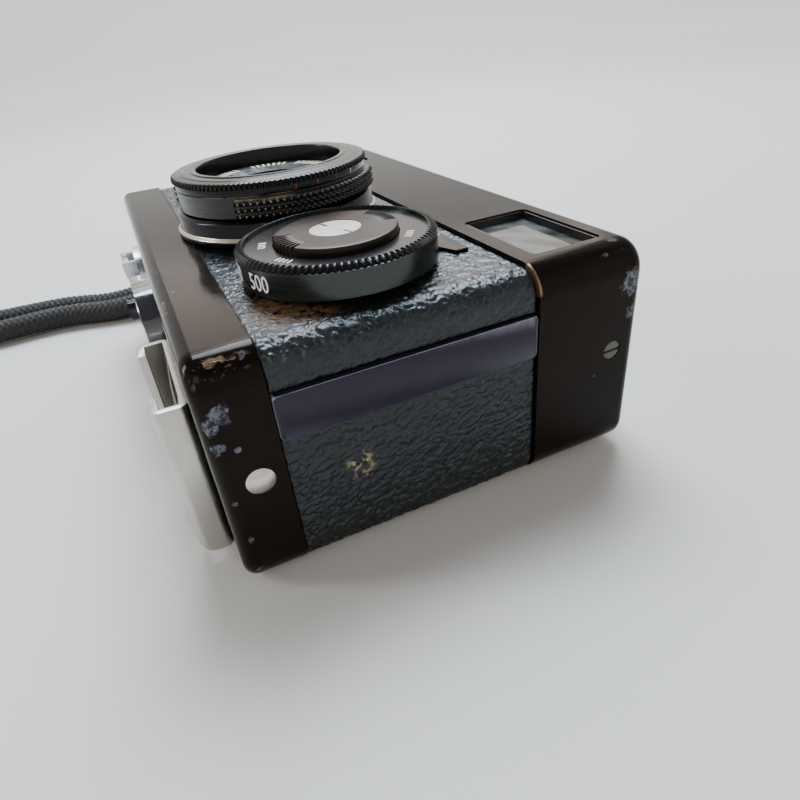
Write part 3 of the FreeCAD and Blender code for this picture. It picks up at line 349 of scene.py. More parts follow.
def enamel(name, scuffs_and_highlights, glints, seam=None):
    """Glossy black enamel over metal. The first list gives small scuffed spots, coloured a light blue-grey
    that partly stands for painted highlight; glints are stretches of rounded edge where the brass shows
    through; both are (body point's shares, reach in mm). seam is a stretch of the cut edge with its paint
    abraded off, (place, reach in mm)."""
    look = Look(name)
    ragged = look.times(look.math("SUBTRACT", look.noise(900, 5, 0.65), 0.5), 1.6)
    # scuffed spots, partly painted highlight
    scuff_and_highlight = look.span(look.plus(nearest(look, scuffs_and_highlights), ragged), 0.58, 0.80)
    core = look.span(look.noise(1700, 4, 0.6), 0.38, 0.66)
    shine = look.times(nearest(look, glints), look.edge(0.80, 0.97))
    blotch = look.noise(1100, 4, 0.6, source=look.scaled(1.0, 0.45, 1.0))
    glint = look.times(look.span(shine, 0.15, 0.6), look.span(blotch, 0.52, 0.64))
    if seam:
        glint = look.larger(glint, rubbed_seam(look, *seam))
    speck = look.times(look.span(look.cells(430), 0.06, 0.035), look.span(look.noise(150, 2), 0.56, 0.6))
    paint = look.mix(look.noise(60, 3), (0.0024, 0.0018, 0.0014), (0.0085, 0.0060, 0.0044))
    paint = look.mix(look.times(speck, 0.5), paint, (0.22, 0.20, 0.18))
    # light blue-grey of the scuffed spots: partly painted highlight
    scuff_and_highlight_tone = look.mix(core, (0.024, 0.025, 0.032), (0.15, 0.16, 0.19))
    tone = look.mix(glint, look.mix(scuff_and_highlight, paint, scuff_and_highlight_tone), (0.22, 0.15, 0.085))
    bare = look.larger(glint, look.times(scuff_and_highlight, 0.6))
    polish = look.span(look.noise(700, 3), 0.3, 0.7, 0.10, 0.16)
    ripple = look.times(look.noise(2600, 2), 0.025)
    swell = look.times(look.noise(200, 2), 0.05)
    height = look.plus(look.math("SUBTRACT", ripple, look.times(bare, 0.40)), swell)
    # the warm specular tint is a painted reflection colour, standing for the brown room the enamel mirrors
    look.set(Base_Color=tone, Metallic=look.times(bare, 0.8), Roughness=look.blend(bare, polish, 0.30),
             Specular_IOR_Level=0.10, Specular_Tint=(1.0, 0.82, 0.70), Normal=look.bump(height, 0.6, 0.10))
    return look.material


def leatherette(name, patches):
    """Grained covering, near black. patches are spots of another colour and roughness: (body point's
    shares, reach in mm, colour, noise level from which it shows)."""
    look = Look(name)
    grain = look.noise(2300, 5, 0.6, distortion=0.5)
    pebbles = look.span(look.cells(1100, "DISTANCE_TO_EDGE", source=look.scaled(0.9, 1.3, 1.0)), 0.02, 0.22)
    tone = look.mix(look.noise(350, 3), (0.0026, 0.0034, 0.0034), (0.007, 0.009, 0.010))
    rough = look.span(grain, 0.3, 0.7, 0.27, 0.42)
    for *shares, reach, colour, limit in patches:
        ragged = look.span(look.noise(800, 5, 0.6), limit, limit + 0.12)
        mask = look.math("MINIMUM", look.times(look.near(body_point(*shares), reach), ragged, 1.8), 1.0)
        tone = look.mix(mask, tone, colour)
        rough = look.blend(mask, rough, 0.6)
    height = look.plus(look.times(grain, 0.4), look.times(pebbles, 0.35))
    # the blue specular tint is a painted sky colour on the highlights
    look.set(Base_Color=tone, Roughness=rough, Specular_IOR_Level=0.52, Specular_Tint=(0.88, 0.94, 1.0),
             Normal=look.bump(height, 0.5, 0.10))
    return look.material


def anodised(name, colour=ANODISED, rough=0.26, turned=True, metallic=0.25):
    """Black anodised metal with fine turning marks."""
    look = Look(name)
    lines = look.turning() if turned else look.noise(900, 3)
    tone = look.mix(look.noise(420, 4), colour, tuple(c * 1.9 for c in colour))
    dust = look.span(look.noise(1500, 3), 0.68, 0.74)
    tone = look.mix(look.times(dust, 0.12), tone, (0.3, 0.28, 0.25))
    look.set(Base_Color=tone, Metallic=metallic, Specular_IOR_Level=0.4,
             Roughness=look.span(lines, 0.3, 0.7, rough - 0.05, rough + 0.06),
             Normal=look.bump(lines, 0.06, 0.03))
    return look.material


def spun(name, colour):
    """Dark spun metal: a satin disc whose highlight runs out from the middle in both directions."""
    look = Look(name)
    fine = look.noise(2400, 2)
    tone = look.mix(look.noise(120, 1), colour, tuple(c * 0.85 for c in colour))
    look.set(Base_Color=tone, Metallic=0.85, Anisotropic=0.55,
             Roughness=look.span(fine, 0.3, 0.7, 0.28, 0.32))
    tangent = look.node("ShaderNodeTangent", direction_type="RADIAL", axis="Z")
    look.put(tangent.outputs["Tangent"], look.shader.inputs["Tangent"])
    return look.material


def bare_metal(name, colour, rough=0.28, brush=(1.0, 1.0, 1.0), grime=0.35, uneven=1.0):
    """Plated or bare metal, brushed one way, with dull patches and fine scratches; uneven is how much
    its polish varies."""
    look = Look(name)
    brushed = look.noise(700, 4, source=look.scaled(*brush))
    patches = look.noise(260, 4)
    scratch = look.span(look.noise(1500, 2, source=look.scaled(0.2, 1.0, 0.6)), 0.66, 0.7)
    dark = tuple(c * 0.55 for c in colour)
    tone = look.mix(look.times(look.span(patches, 0.45, 0.75), grime), colour, dark)
    polish = look.span(brushed, 0.3, 0.7, rough - 0.08 * uneven, rough + 0.12 * uneven)
    look.set(Base_Color=tone, Metallic=1.0, Roughness=look.plus(polish, look.times(scratch, 0.15 * uneven)),
             Normal=look.bump(brushed, 0.08, 0.02))
    return look.material


def plastic(name, colour, rough):
    """Moulded or painted surface with a faint grain."""
    look = Look(name)
    grain = look.noise(1200, 3)
    tone = look.mix(look.noise(500, 4), colour, tuple(min(1, c * 1.5 + 0.004) for c in colour))
    look.set(Base_Color=tone, Roughness=look.span(grain, 0.3, 0.7, rough * 0.8, rough * 1.3),
             Normal=look.bump(grain, 0.1, 0.03))
    return look.material


def glass(name, tint, coat=(0.5, 0.4, 0.8), film=0.15, milk=0.0):
    """Clear glass with a faint coloured coating and dust; milk is how much stays opaque and pale."""
    look = Look(name)
    dust = look.span(look.noise(1100, 4), 0.6, 0.75)
    streak = look.span(look.noise(120, 2, source=look.scaled(1.0, 2.5, 1.0), distortion=1.5), 0.35, 0.65)
    look.set(Base_Color=look.mix(streak, tint, tuple(c * 0.8 for c in tint)), IOR=1.5,
             Transmission_Weight=look.blend(streak, 1.0 - milk, 1.0 - milk * 0.4),
             Roughness=look.span(dust, 0.0, 1.0, 0.02, 0.12),
             Coat_Weight=film, Coat_Tint=coat, Coat_Roughness=0.03)
    return look.material


def finder_glass():
    """Strongly curved finder lens: pale green glass with painted reflections: curved dark and light stripes
    for the room it bends, and pale patches.
    """
    look = Look("finder_glass")
    low_corner, high_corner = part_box("viewfinder_front_window")
    past_end, below, band = 4 * MM, 12 * MM, 4.2 * MM
    from_end = look.distance((high_corner.x + past_end, low_corner.y - below, high_corner.z))
    painted_reflection_bands = look.math("SINE", look.times(from_end, 2 * math.pi / band))
    soft = look.noise(180, 2)
    # painted reflection: dark and light curved stripes, then pale patches over them
    tone = look.mix(look.span(painted_reflection_bands, -0.9, 0.9), (0.022, 0.023, 0.015), (0.120, 0.125, 0.090))
    tone = look.mix(look.span(soft, 0.4, 0.75), tone, (0.14, 0.16, 0.165))
    look.set(Base_Color=tone, Roughness=look.span(soft, 0.3, 0.7, 0.05, 0.12), IOR=1.5,
             Transmission_Weight=0.25, Specular_IOR_Level=0.18)
    return look.material


def ring_with_highlight_and_wear(name, spot, reach):
    """Black anodised ring with bare-metal colour near one place: a painted highlight on its ledge, and wear
    on its studs' tips.
    """
    look = Look(name)
    lines = look.turning()
    highlight_and_wear_spot = look.near(spot, reach)
    # painted highlight: the level ledge near one place, coloured as bare metal
    ledge = look.times(look.span(highlight_and_wear_spot, 0.05, 0.4), look.span(look.tilt(), 0.80, 0.95),
                       look.span(look.noise(500, 3), 0.36, 0.5))
    pad = high("grip_ring").x - LENS.x
    tips = look.times(look.span(look.off_axis(LENS), pad - 0.16 * MM, pad - 0.04 * MM),
                      look.span(highlight_and_wear_spot, 0.05, 0.5, 0.25, 1.0))
    highlight_and_wear = look.larger(ledge, look.times(tips, 0.6))
    # bare-metal colour: painted highlight on the ledge, wear on the stud tips
    tone = look.mix(highlight_and_wear, ANODISED, (0.42, 0.31, 0.18))
    look.set(Base_Color=tone, Metallic=look.times(highlight_and_wear, 0.5), Specular_IOR_Level=0.4,
             Roughness=look.blend(highlight_and_wear, look.span(lines, 0.3, 0.7, 0.22, 0.32), 0.5),
             Normal=look.bump(lines, 0.06, 0.03))
    return look.material


def collar_black():
    """Black collar whose foot bevel carries a painted highlight: a bright metal colour along it."""
    look = Look("collar_black")
    lines = look.turning()
    tilt = look.tilt()
    slope = look.times(look.span(tilt, 0.35, 0.5), look.span(tilt, 0.80, 0.92, 1.0, 0.0))
    foot = look.span(look.part(look.place, 2), FRONT + 1.3 * MM, FRONT + 1.5 * MM, 1.0, 0.0)
    # painted highlight on the foot bevel
    bright = look.times(slope, foot, look.span(look.noise(160, 2), 0.3, 0.45))
    look.set(Base_Color=look.mix(bright, ANODISED, (0.62, 0.56, 0.44)),
             Specular_IOR_Level=0.4, Metallic=look.blend(bright, 0.6, 0.9),
             Roughness=look.blend(bright, look.span(lines, 0.3, 0.7, 0.14, 0.22), 0.3),
             Normal=look.bump(lines, 0.06, 0.03))
    return look.material


def gloss_black():
    """Highly polished black moulding that mirrors whatever lies beside it."""
    look = Look("gloss_black")
    fine = look.noise(900, 3)
    # blue-grey lift of the base: painted sky reflection, besides what the gloss really mirrors
    tone = look.mix(look.noise(400, 3), (0.020, 0.021, 0.028), (0.034, 0.036, 0.048))
    look.set(Base_Color=tone, Roughness=look.span(fine, 0.3, 0.7, 0.08, 0.16), Specular_IOR_Level=1.0,
             Coat_Weight=1.0, Coat_Roughness=0.05, Normal=look.bump(fine, 0.05, 0.03))
    return look.material


def rail_black():
    """Satin purple-black rail, lighter along its long edges, most on the upward ones: a painted highlight.
    """
    look = Look("rail_satin")
    fine = look.noise(900, 3)
    tone = look.mix(look.noise(420, 4), (0.010, 0.0075, 0.020), (0.017, 0.013, 0.032))
    # painted highlight along the long edges, strongest where they face up
    highlight_and_wear = look.times(look.edge(0.80, 0.95), look.span(look.noise(300, 3), 0.3, 0.5, 0.5, 1.0),
                        look.span(look.tilt(), 0.1, 0.4, 0.25, 1.0))
    look.set(Base_Color=look.mix(highlight_and_wear, tone, (0.34, 0.32, 0.42)), Specular_IOR_Level=0.3,
             Roughness=look.span(fine, 0.3, 0.7, 0.28, 0.40), Normal=look.bump(fine, 0.06, 0.03))
    return look.material


def dial_black():
    """Setting dials: satin black on top, turned brighter round the upright skirt."""
    look = Look("dial_black")
    lines = look.turning()
    upright = look.span(look.math("ABSOLUTE", look.tilt()), 0.15, 0.4, 1.0, 0.0)
    tone = look.mix(upright, (0.010, 0.010, 0.012), (0.055, 0.064, 0.060))
    tone = look.mix(look.times(look.noise(420, 4), 0.3), tone, (0.004, 0.004, 0.005))
    look.set(Base_Color=tone, Metallic=look.span(upright, 0.0, 1.0, 0.25, 0.85), Specular_IOR_Level=0.4,
             Roughness=look.span(lines, 0.3, 0.7, 0.18, 0.28), Normal=look.bump(lines, 0.06, 0.03))
    return look.material


def cord_weave():
    """Dark matt cord with a faint sheen."""
    look = Look("braided_cord")
    strands = look.noise(5200, 3)
    tone = look.mix(look.noise(1500, 3), (0.004, 0.004, 0.004), (0.016, 0.014, 0.012))
    look.set(Base_Color=tone, Roughness=look.span(strands, 0.3, 0.7, 0.55, 0.8),
             Sheen_Weight=0.08, Sheen_Roughness=0.4, Normal=look.bump(strands, 0.5, 0.06))
    return look.material


# ---------------------------------------------------------------- the materials

TOP_ENAMEL = enamel(
    "top_enamel",
    [(1.0, 0.965, 0.84, 4.4), (1.0, 0.975, 0.70, 2.4), (0.965, 0.945, 1.0, 1.5), (0.99, 0.955, 0.99, 1.8),
     (0.99, 0.90, 0.985, 1.7), (0.0, 0.97, 0.9, 2.2)],
    [(1.0, 1.0, 1.0, 3.5)],
    ((BODY_HIGH.x - 0.9 * MM, low("top_cap").y, FRONT - 1.1 * MM), 3.4))
BOTTOM_ENAMEL = enamel(
    "bottom_enamel",
    [(1.0, 0.040, 0.81, 3.3), (1.0, 0.022, 0.77, 2.4), (1.0, 0.022, 0.68, 2.2), (1.0, 0.055, 0.66, 0.9),
     (1.0, 0.02, 0.44, 1.0), (1.0, 0.03, 0.25, 1.2), (1.0, 0.03, 0.09, 1.3), (1.0, 0.01, 0.03, 1.5),
     (0.985, 0.11, 0.98, 1.4), (0.66, 0.02, 1.0, 0.8), (0.76, 0.04, 1.0, 0.7), (0.0, 0.02, 0.9, 2.6)],
    [(0.985, 0.06, 0.985, 5.5), (0.6, 0.0, 1.0, 9.0), (0.8, 0.0, 1.0, 7.0)])
FRONT_GRAIN = leatherette("front_grain", [(0.90, 0.235, 1.0, 8.5, (0.10, 0.050, 0.014), 0.40)])
BACK_GRAIN = leatherette("back_grain", [(1.0, 0.285, 0.4, 2.8, (0.34, 0.27, 0.15), 0.50)])
BLACK_RING = anodised("black_ring")
DIAL_BLACK = dial_black()
BLACK_DISC = spun("black_disc", (0.020, 0.0145, 0.0115))
BLACK_SATIN = anodised("black_satin", (0.007, 0.007, 0.008), 0.18, metallic=0.6)
RAIL = rail_black()
NICKEL = bare_metal("nickel", (0.58, 0.56, 0.52), 0.36, (1.0, 1.0, 0.3), 0.12)
BRIGHT = bare_metal("bright_steel", (0.74, 0.76, 0.80), 0.24, (1.0, 1.0, 1.0), 0.0, 0.25)
CHROME = bare_metal("bright_chrome", (0.78, 0.78, 0.79), 0.1, (1.0, 1.0, 1.0), 0.15)
BRASS = bare_metal("turned_brass", (0.62, 0.43, 0.17), 0.25)
CASTING = bare_metal("frame_casting", (0.26, 0.26, 0.27), 0.5)
DARK_PLASTIC = plastic("black_plastic", (0.006, 0.006, 0.008), 0.14)
WHITE_PLASTIC = plastic("white_plastic", (0.72, 0.71, 0.67), 0.4)
WHITE_INK = plastic("white_ink", (0.75, 0.72, 0.66), 0.5)
RED_INK = plastic("red_ink", (0.26, 0.030, 0.02), 0.5)
WINDOW = glass("window_glass", (0.80, 0.90, 0.80), milk=0.35)
FINDER = finder_glass()
COLLAR = collar_black()
GRIP = ring_with_highlight_and_wear("grip_black", (LENS.x + 14.4 * MM, LENS.y - 9.0 * MM, high("grip_ring").z), 11.0)
CLEAR = glass("clear_window", (0.92, 0.95, 0.93))
WORN_STEEL = bare_metal("worn_steel", (0.10, 0.095, 0.085), 0.35, (1.0, 1.0, 1.0), 0.7)
RIVET_STEEL = bare_metal("rivet_steel", (0.60, 0.58, 0.54), 0.2, (1.0, 1.0, 1.0), 0.2, 0.35)
LOCK_BLACK = gloss_black()
COATED = glass("coated_glass", (0.55, 0.5, 0.6), (0.45, 0.3, 0.9), 0.12)
MATT_BLACK = plastic("matt_black", (0.006, 0.006, 0.006), 0.55)
CREAM_INK = plastic("cream_ink", (0.78, 0.66, 0.42), 0.5)
CELL = plastic("cell_face", (0.35, 0.14, 0.05), 0.5)
CORD = cord_weave()
SLEEVE = leatherette("strap_leather", [])
BLADE = anodised("blade_steel", (0.03, 0.03, 0.032), 0.35, turned=False, metallic=0.8)

CAD_LOOKS = (
    (TOP_ENAMEL, "top_cap"), (BOTTOM_ENAMEL, "bottom_cap"),
    (CASTING, "main_frame back_shell meter_movement"),
    (FRONT_GRAIN, "front_leatherette"), (BACK_GRAIN, "back_leatherette"),
    (RAIL, "side_rails"), (COLLAR, "lens_collar"), (LOCK_BLACK, "lock_key"), (GRIP, "grip_ring"),
    (BLACK_RING, "focus_ring"), (MATT_BLACK, "name_ring"), (DIAL_BLACK, "speed_dial aperture_dial"),
    (BLACK_SATIN, "front_cell shutter_housing rear_cell"),
    (BLACK_DISC, "index_plates film_type_disc film_speed_disc"), (NICKEL, "strap_lug hot_shoe shoe_spring"),
    (RIVET_STEEL, "cap_rivets"), (WORN_STEEL, "cap_side_screws"), (WHITE_PLASTIC, "counter_disc"),
    (BRIGHT, "dial_posts rewind_hub crank_arm tripod_bush film_sprocket battery"),
    (CHROME, "barrel_tube advance_lever shutter_button shutter_button_collar lens_release_button"),
    (BRASS, "winding_gear sprocket_gears guide_sleeve shoe_contact"),
    (DARK_PLASTIC, "crank_knob viewfinder_bezel viewfinder_housing take_up_spool"),
    (RED_INK, "meter_pointer"), (CELL, "light_cell"), (CORD, "wrist_strap"),
    (BLADE, "pressure_plate shutter_blade_left shutter_blade_right meter_needle"),
    (FINDER, "viewfinder_front_window"), (WINDOW, "eyepiece_lens"), (COATED, "front_element rear_element"),
    (CLEAR, "meter_window counter_window light_cell_window"),
)
SOFT_EDGES = (("hot_shoe", 0.15, 2), ("side_rails", 0.6, 4), ("index_plates", 0.12, 2),
              ("strap_lug", 0.15, 2), ("advance_lever", 0.25, 2), ("crank_arm", 0.15, 2))


def dress_cad():
    """Gives every carried-over CAD node its material and smooth shading."""
    looks = {name: material for material, names in CAD_LOOKS for name in names.split()}
    for name, obj in NODES.items():
        obj.data.materials.clear()
        obj.data.materials.append(looks[name])
        by_angle(obj)
    for name, width, segments in SOFT_EDGES:
        soften(NODES[name], width, segments)


# ---------------------------------------------------------------- coverings

def wrinkle(x, y, z, stretch):
    """Height of the covering's grain, 0 in the creases and 1 on the pads, at a point given in mm."""
    along, across, deep = stretch
    p = Vector((x * deep, y * along + z * 0.45 * along, z * across - y * 0.45 * across + x * across * 0.8))
    warp = noise.noise_vector(p * 0.8) * 0.8
    crease = abs(noise.noise(p + warp)) * 3.2
    minor = abs(noise.noise(p * 2.1 - warp * 0.7)) * 2.6
    return min(1.0, crease) * 0.7 + min(1.0, minor) * 0.3


def covering(name, node, path, step, relief, stretch, body, material, keep=None):
    """Sheet that follows a path of (x, z, nx, nz) points in place of a CAD node, thick enough to hide
    its back, with a grained outer face. keep(x, y) is false where a hole goes through."""
    y_low, y_high = low(node).y / MM, high(node).y / MM
    rows = max(2, int((y_high - y_low) / step))
    ys = [y_low + (y_high - y_low) * i / rows for i in range(rows + 1)]
    points, index = [], {}
    for i, (x, z, nx, nz) in enumerate(path):
        for j, y in enumerate(ys):
            rim = min(1.0, min(y - y_low, y_high - y) / 0.35, min(i, len(path) - 1 - i) * step / 0.35)
            lift = relief * (wrinkle(x, y, z, stretch) - 0.8) * rim - 0.12 * (1 - rim)
            index[i, j] = len(points)
            points.append(((x + nx * lift) * MM, y * MM, (z + nz * lift) * MM))
    base = len(points)
    for x, z, nx, nz in path:
        for y in ys:
            points.append(((x - nx * 0.45) * MM, y * MM, (z - nz * 0.45) * MM))
    faces = []
    cells = {}
    for i in range(len(path) - 1):
        for j in range(rows):
            middle = ((path[i][0] + path[i + 1][0]) / 2, (ys[j] + ys[j + 1]) / 2)
            cells[i, j] = keep is None or path[i][3] < 0.99 or keep(*middle)
    for (i, j), kept in cells.items():
        if not kept:
            continue
        quad = (index[i, j], index[i, j + 1], index[i + 1, j + 1], index[i + 1, j])
        faces.append(quad[::-1])
        faces.append(tuple(base + k for k in quad))
        for di, dj, a, b in ((-1, 0, 0, 1), (1, 0, 2, 3), (0, -1, 3, 0), (0, 1, 1, 2)):
            if not cells.get((i + di, j + dj), False):
                faces.append((quad[a], quad[b], base + quad[b], base + quad[a]))
    add_mesh(name, points, faces, body, material, replaces=(node,))


def bent_path(half, edge_z, flat_z, corner, up, step):
    """Points round one end, the flat and the other end: x, z and the outward normal."""
    path = []
    sign = 1 if up else -1
    start = max(edge_z, 0) if up else edge_z
    straight = abs((flat_z - sign * corner) - start)
    count = max(2, int(straight / step))
    for i in range(count):
        path.append((-half, start + sign * straight * i / count, -1, 0))
    turns = max(6, int(corner * math.pi / 2 / step))
    for i in range(turns):
        angle = math.pi / 2 * i / turns
        nx, nz = -math.cos(angle), sign * math.sin(angle)
        path.append((-half + corner + nx * corner, flat_z - sign * corner + nz * corner, nx, nz))
    flat = int((2 * half - 2 * corner) / step)
    for i in range(flat + 1):
        path.append((-half + corner + (2 * half - 2 * corner) * i / flat, flat_z, 0, sign))
    return path + [(-x, z, -nx, nz) for x, z, nx, nz in path[:-1][::-1] if abs(nx) > 1e-6]


def build_coverings():
    noise.seed_set(GRAIN_SEED)
    step, corner, post_hole = 0.2, 3.5, 3.7
    holes = [(LENS, turned_size("lens_collar", LENS)[0] - 0.6), (SPEED, post_hole), (APERTURE, post_hole)]

    def keep(x, y):
        return all(math.hypot(x - c.x / MM, y - c.y / MM) > r for c, r in holes)

    node = "front_leatherette"
    box_low, box_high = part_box(node)
    path = bent_path(box_high.x / MM, box_low.z / MM, box_high.z / MM, corner, True, step)
    covering("front_covering", node, path, step, 0.26, (0.62, 1.25, 0.75), "camera_body", FRONT_GRAIN, keep)
    node = "back_leatherette"
    box_low, box_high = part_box(node)
    path = bent_path(box_high.x / MM, box_high.z / MM, box_low.z / MM, corner, False, step)
    covering("back_covering", node, path, step, 0.36, (0.55, 1.55, 0.65), "back", BACK_GRAIN)


# ---------------------------------------------------------------- dials

def setting_dial(node):
    """Dial with a smooth skirt, a bevelled knurl and a sunk scale ring."""
    spot = centre(node)
    radius, base, top = turned_size(node, spot)
    bore, floor = 3.0, top - 1.3
    seat = turned_size("film_type_disc", SPEED)[0] + 0.15
    profile = [(bore, base), (radius - 0.4, base), (radius - 0.06, base + 0.3)]
    profile += steps(radius, top, (-0.06, -0.78), (-0.18, -0.72), (-0.08, -0.64), (0, -0.56), (-0.2, -0.36),
                     (-0.55, -0.14), (-0.85, -0.02), (-1.02, 0), (-1.12, -0.08), (-1.2, -0.6))
    profile += [(seat, top - SCALE_SINK), (seat, floor), (bore, floor)]
    depths = {5: 0.176, 6: 0.272, 7: 0.288, 8: 0.24, 9: 0.128, 10: 0.048}

    def cut_teeth(i, angle):
        groove = depths.get(i, 0) * tooth(angle, DIAL_TEETH, 0.6)
        return -groove, -groove

    lathe(node + "_ring", node, profile, spot, DIAL_TEETH * 10, node, DIAL_BLACK, cut_teeth)


def reminder_disc(node):
    """Inner disc with two opposite sectors of finger ridges that run in over its top."""
    spot = centre(node)
    radius, base, top = turned_size(node, spot)
    bore, sink, floor = 2.86, 3.45, top - 0.7
    profile = [(bore, base), (radius - 0.2, base), (radius, base + 0.2)]
    profile += steps(radius, top, (0, -0.3), (-0.1, -0.08), (-0.25, 0), (-1.0, 0), (-1.8, 0), (-2.6, 0))
    profile += [(sink, top), (sink, floor), (bore, floor)]
    depths = {3: 0.36, 4: 0.42, 5: 0.36, 6: 0.24, 7: 0.14}

    def ridges(i, angle):
        if i not in depths or not in_sector(angle, RIDGE_SECTOR):
            return 0, 0
        groove = depths[i] * tooth(angle, DISC_RIDGES, 0.6)
        return (-groove if i < 6 else 0), (-groove if i > 3 else 0)

    lathe(node.replace("disc", "plate"), node, profile, spot, DISC_RIDGES * 10, node, BLACK_DISC, ridges)


def label(name, words, size_mm, body, material, shape, squeeze=1.0):
    """Numerals as a thin mesh; shape(u, v, lift) places a point u along, v up and lift outward, in mm."""
    curve = bpy.data.curves.new(name, "FONT")
    curve.body = words
    curve.size = size_mm
    curve.align_x = "CENTER"
    curve.align_y = "CENTER"
    curve.resolution_u = 3
    temp = bpy.data.objects.new(name + "_curve", curve)
    bpy.context.scene.collection.objects.link(temp)
    bpy.context.view_layer.update()
    mesh = bpy.data.meshes.new_from_object(temp.evaluated_get(bpy.context.evaluated_depsgraph_get()))
    bpy.data.objects.remove(temp)
    points = [shape(v.co.x * squeeze, v.co.y, lift) for lift in (INK, -INK) for v in mesh.vertices]
    count = len(mesh.vertices)
    faces = [tuple(p.vertices) for p in mesh.polygons]
    edges = {(a, b): None for f in faces for a, b in zip(f, f[1:] + f[:1])}
    rim = [(a, b) for a, b in edges if (b, a) not in edges]
    solid = faces + [tuple(count + i for i in f[::-1]) for f in faces]
    solid += [(b, a, count + a, count + b) for a, b in rim]
    bpy.data.meshes.remove(mesh)
    add_mesh(name, points, solid, body, material, smooth=False)


def around(spot, radius, middle_z, angle):
    """Wraps numerals round a vertical cylinder, read from outside, centred at an angle."""
    def shape(u, v, lift):
        a = angle + u / radius
        r = (radius + lift) * MM
        return (spot.x + r * math.cos(a), spot.y + r * math.sin(a), (middle_z + v) * MM)
    return shape


def dial_marks(node, numbers, first_deg, step_deg):
    """Numerals round a dial's skirt."""
    spot = centre(node)
    radius, base, top = turned_size(node, spot)
    middle = (base + top - 1.0) / 2 + 0.1
    for i, number in enumerate(numbers.split()):
        name = "%s_%s" % (node.replace("dial", "mark"), number.replace(".", "p"))
        angle = math.radians(first_deg + step_deg * i)
        label(name, number, 3.0, node, WHITE_INK, around(spot, radius - 0.06, middle, angle), 0.82)


def scale_strokes(name, spot, level, r_low, r_high, angles_deg, body, width, ink):
    """Short radial strokes on a level ring, as one mesh."""
    points, faces = [], []
    for degrees in angles_deg:
        a = math.radians(degrees)
        out = Vector((math.cos(a), math.sin(a), 0))
        side = Vector((-out.y, out.x, 0)) * (width / 2)
        corners = [out * r_low - side, out * r_high - side, out * r_high + side, out * r_low + side]
        start = len(points)
        for lift in (-INK, INK):
            points += [spot + Vector((c.x, c.y, 0)) * MM + Vector((0, 0, (level + lift) * MM - spot.z))
                       for c in corners]
        faces += [[start + 3, start + 2, start + 1, start], [start + 4, start + 5, start + 6, start + 7]]
        for k in range(4):
            m = (k + 1) % 4
            faces.append([start + k, start + m, start + 4 + m, start + 4 + k])
    add_mesh(name, points, faces, body, ink, smooth=False)


def index_lines(name, spot):
    """Two dark lines across the bright centre of a dial."""
    slant, half, inner, outer = 0.35, 0.13, 1.7, 3.2
    top = high("dial_posts").z
    points, faces = [], []
    for turn in (slant, slant + math.pi):
        start = len(points)
        for r, s in ((inner, -half), (outer, -half), (outer, half), (inner, half)):
            x = spot.x + (r * math.cos(turn) - s * math.sin(turn)) * MM
            y = spot.y + (r * math.sin(turn) + s * math.cos(turn)) * MM
            points += [(x, y, top + 0.04 * MM), (x, y, top - 0.05 * MM)]
        a = [start, start + 2, start + 4, start + 6]
        b = [i + 1 for i in a]
        faces += [a, b[::-1]] + [[a[k], b[k], b[(k + 1) % 4], a[(k + 1) % 4]] for k in range(4)]
    add_mesh(name, points, faces, "camera_body", DARK_PLASTIC, smooth=False)


def build_dials():
    for node in ("speed_dial", "aperture_dial"):
        setting_dial(node)
    for node in ("film_type_disc", "film_speed_disc"):
        reminder_disc(node)
    dial_marks("speed_dial", "500 250 125 60 30 15 8 4 2", -67, -27)
    dial_marks("aperture_dial", "2.8 4 5.6 8 11 16 22", 110, 22)
    level = high("speed_dial").z / MM - SCALE_SINK
    groups = [middle + step for middle in (-107, -61, 54) for step in (-6, -2, 2, 6)]
    scale_strokes("speed_scale", SPEED, level, 9.2, 10.2, groups, "speed_dial", 0.24, WHITE_INK)
    scale_strokes("film_scale", APERTURE, level, 9.2, 10.2, groups, "aperture_dial", 0.24, WHITE_INK)
    index_lines("speed_index_lines", SPEED)
    index_lines("aperture_index_lines", APERTURE)


# ---------------------------------------------------------------- lens

def grip_ring():
    """Smooth ring with two raised pads of square studs; gives the level of its top."""
    pad_r, base, top = turned_size("grip_ring", LENS)
    ring_r, bore, rows = pad_r - 1.3, 13.52, 3
    pad_low, pad_top = base + 0.15, top - 0.35
    row = (pad_top - pad_low) / rows
    shares, rises = (0.08, 0.28, 0.42, 0.58, 0.72, 0.92), (0.0, 0.8, 1.0, 1.0, 0.8, 0.0)
    levels = [base + 0.12, pad_low]
    levels += [pad_low + row * r + row * share for r in range(rows) for share in shares]
    levels += [pad_top, top - 0.3, top - 0.05]
    profile = [(bore, base), (ring_r - 0.12, base)] + [(ring_r, level) for level in levels]
    profile += [(ring_r - 0.1, top), (bore, top)]
    first = 4
    stud_rows = {first + len(rises) * r + k: rise for r in range(rows) for k, rise in enumerate(rises)}

    def studs(i, angle):
        if i not in stud_rows or not in_sector(angle, STUD_SECTOR):
            return 0, 0
        return 0.72 + 0.56 * stud_rows[i] * (1 - tooth(angle, PAD_STUDS, 0.7)), 0

    lathe("grip_ring_studded", "grip_ring", profile, LENS, PAD_STUDS * 8, "lens_barrel", GRIP, studs)
    return top


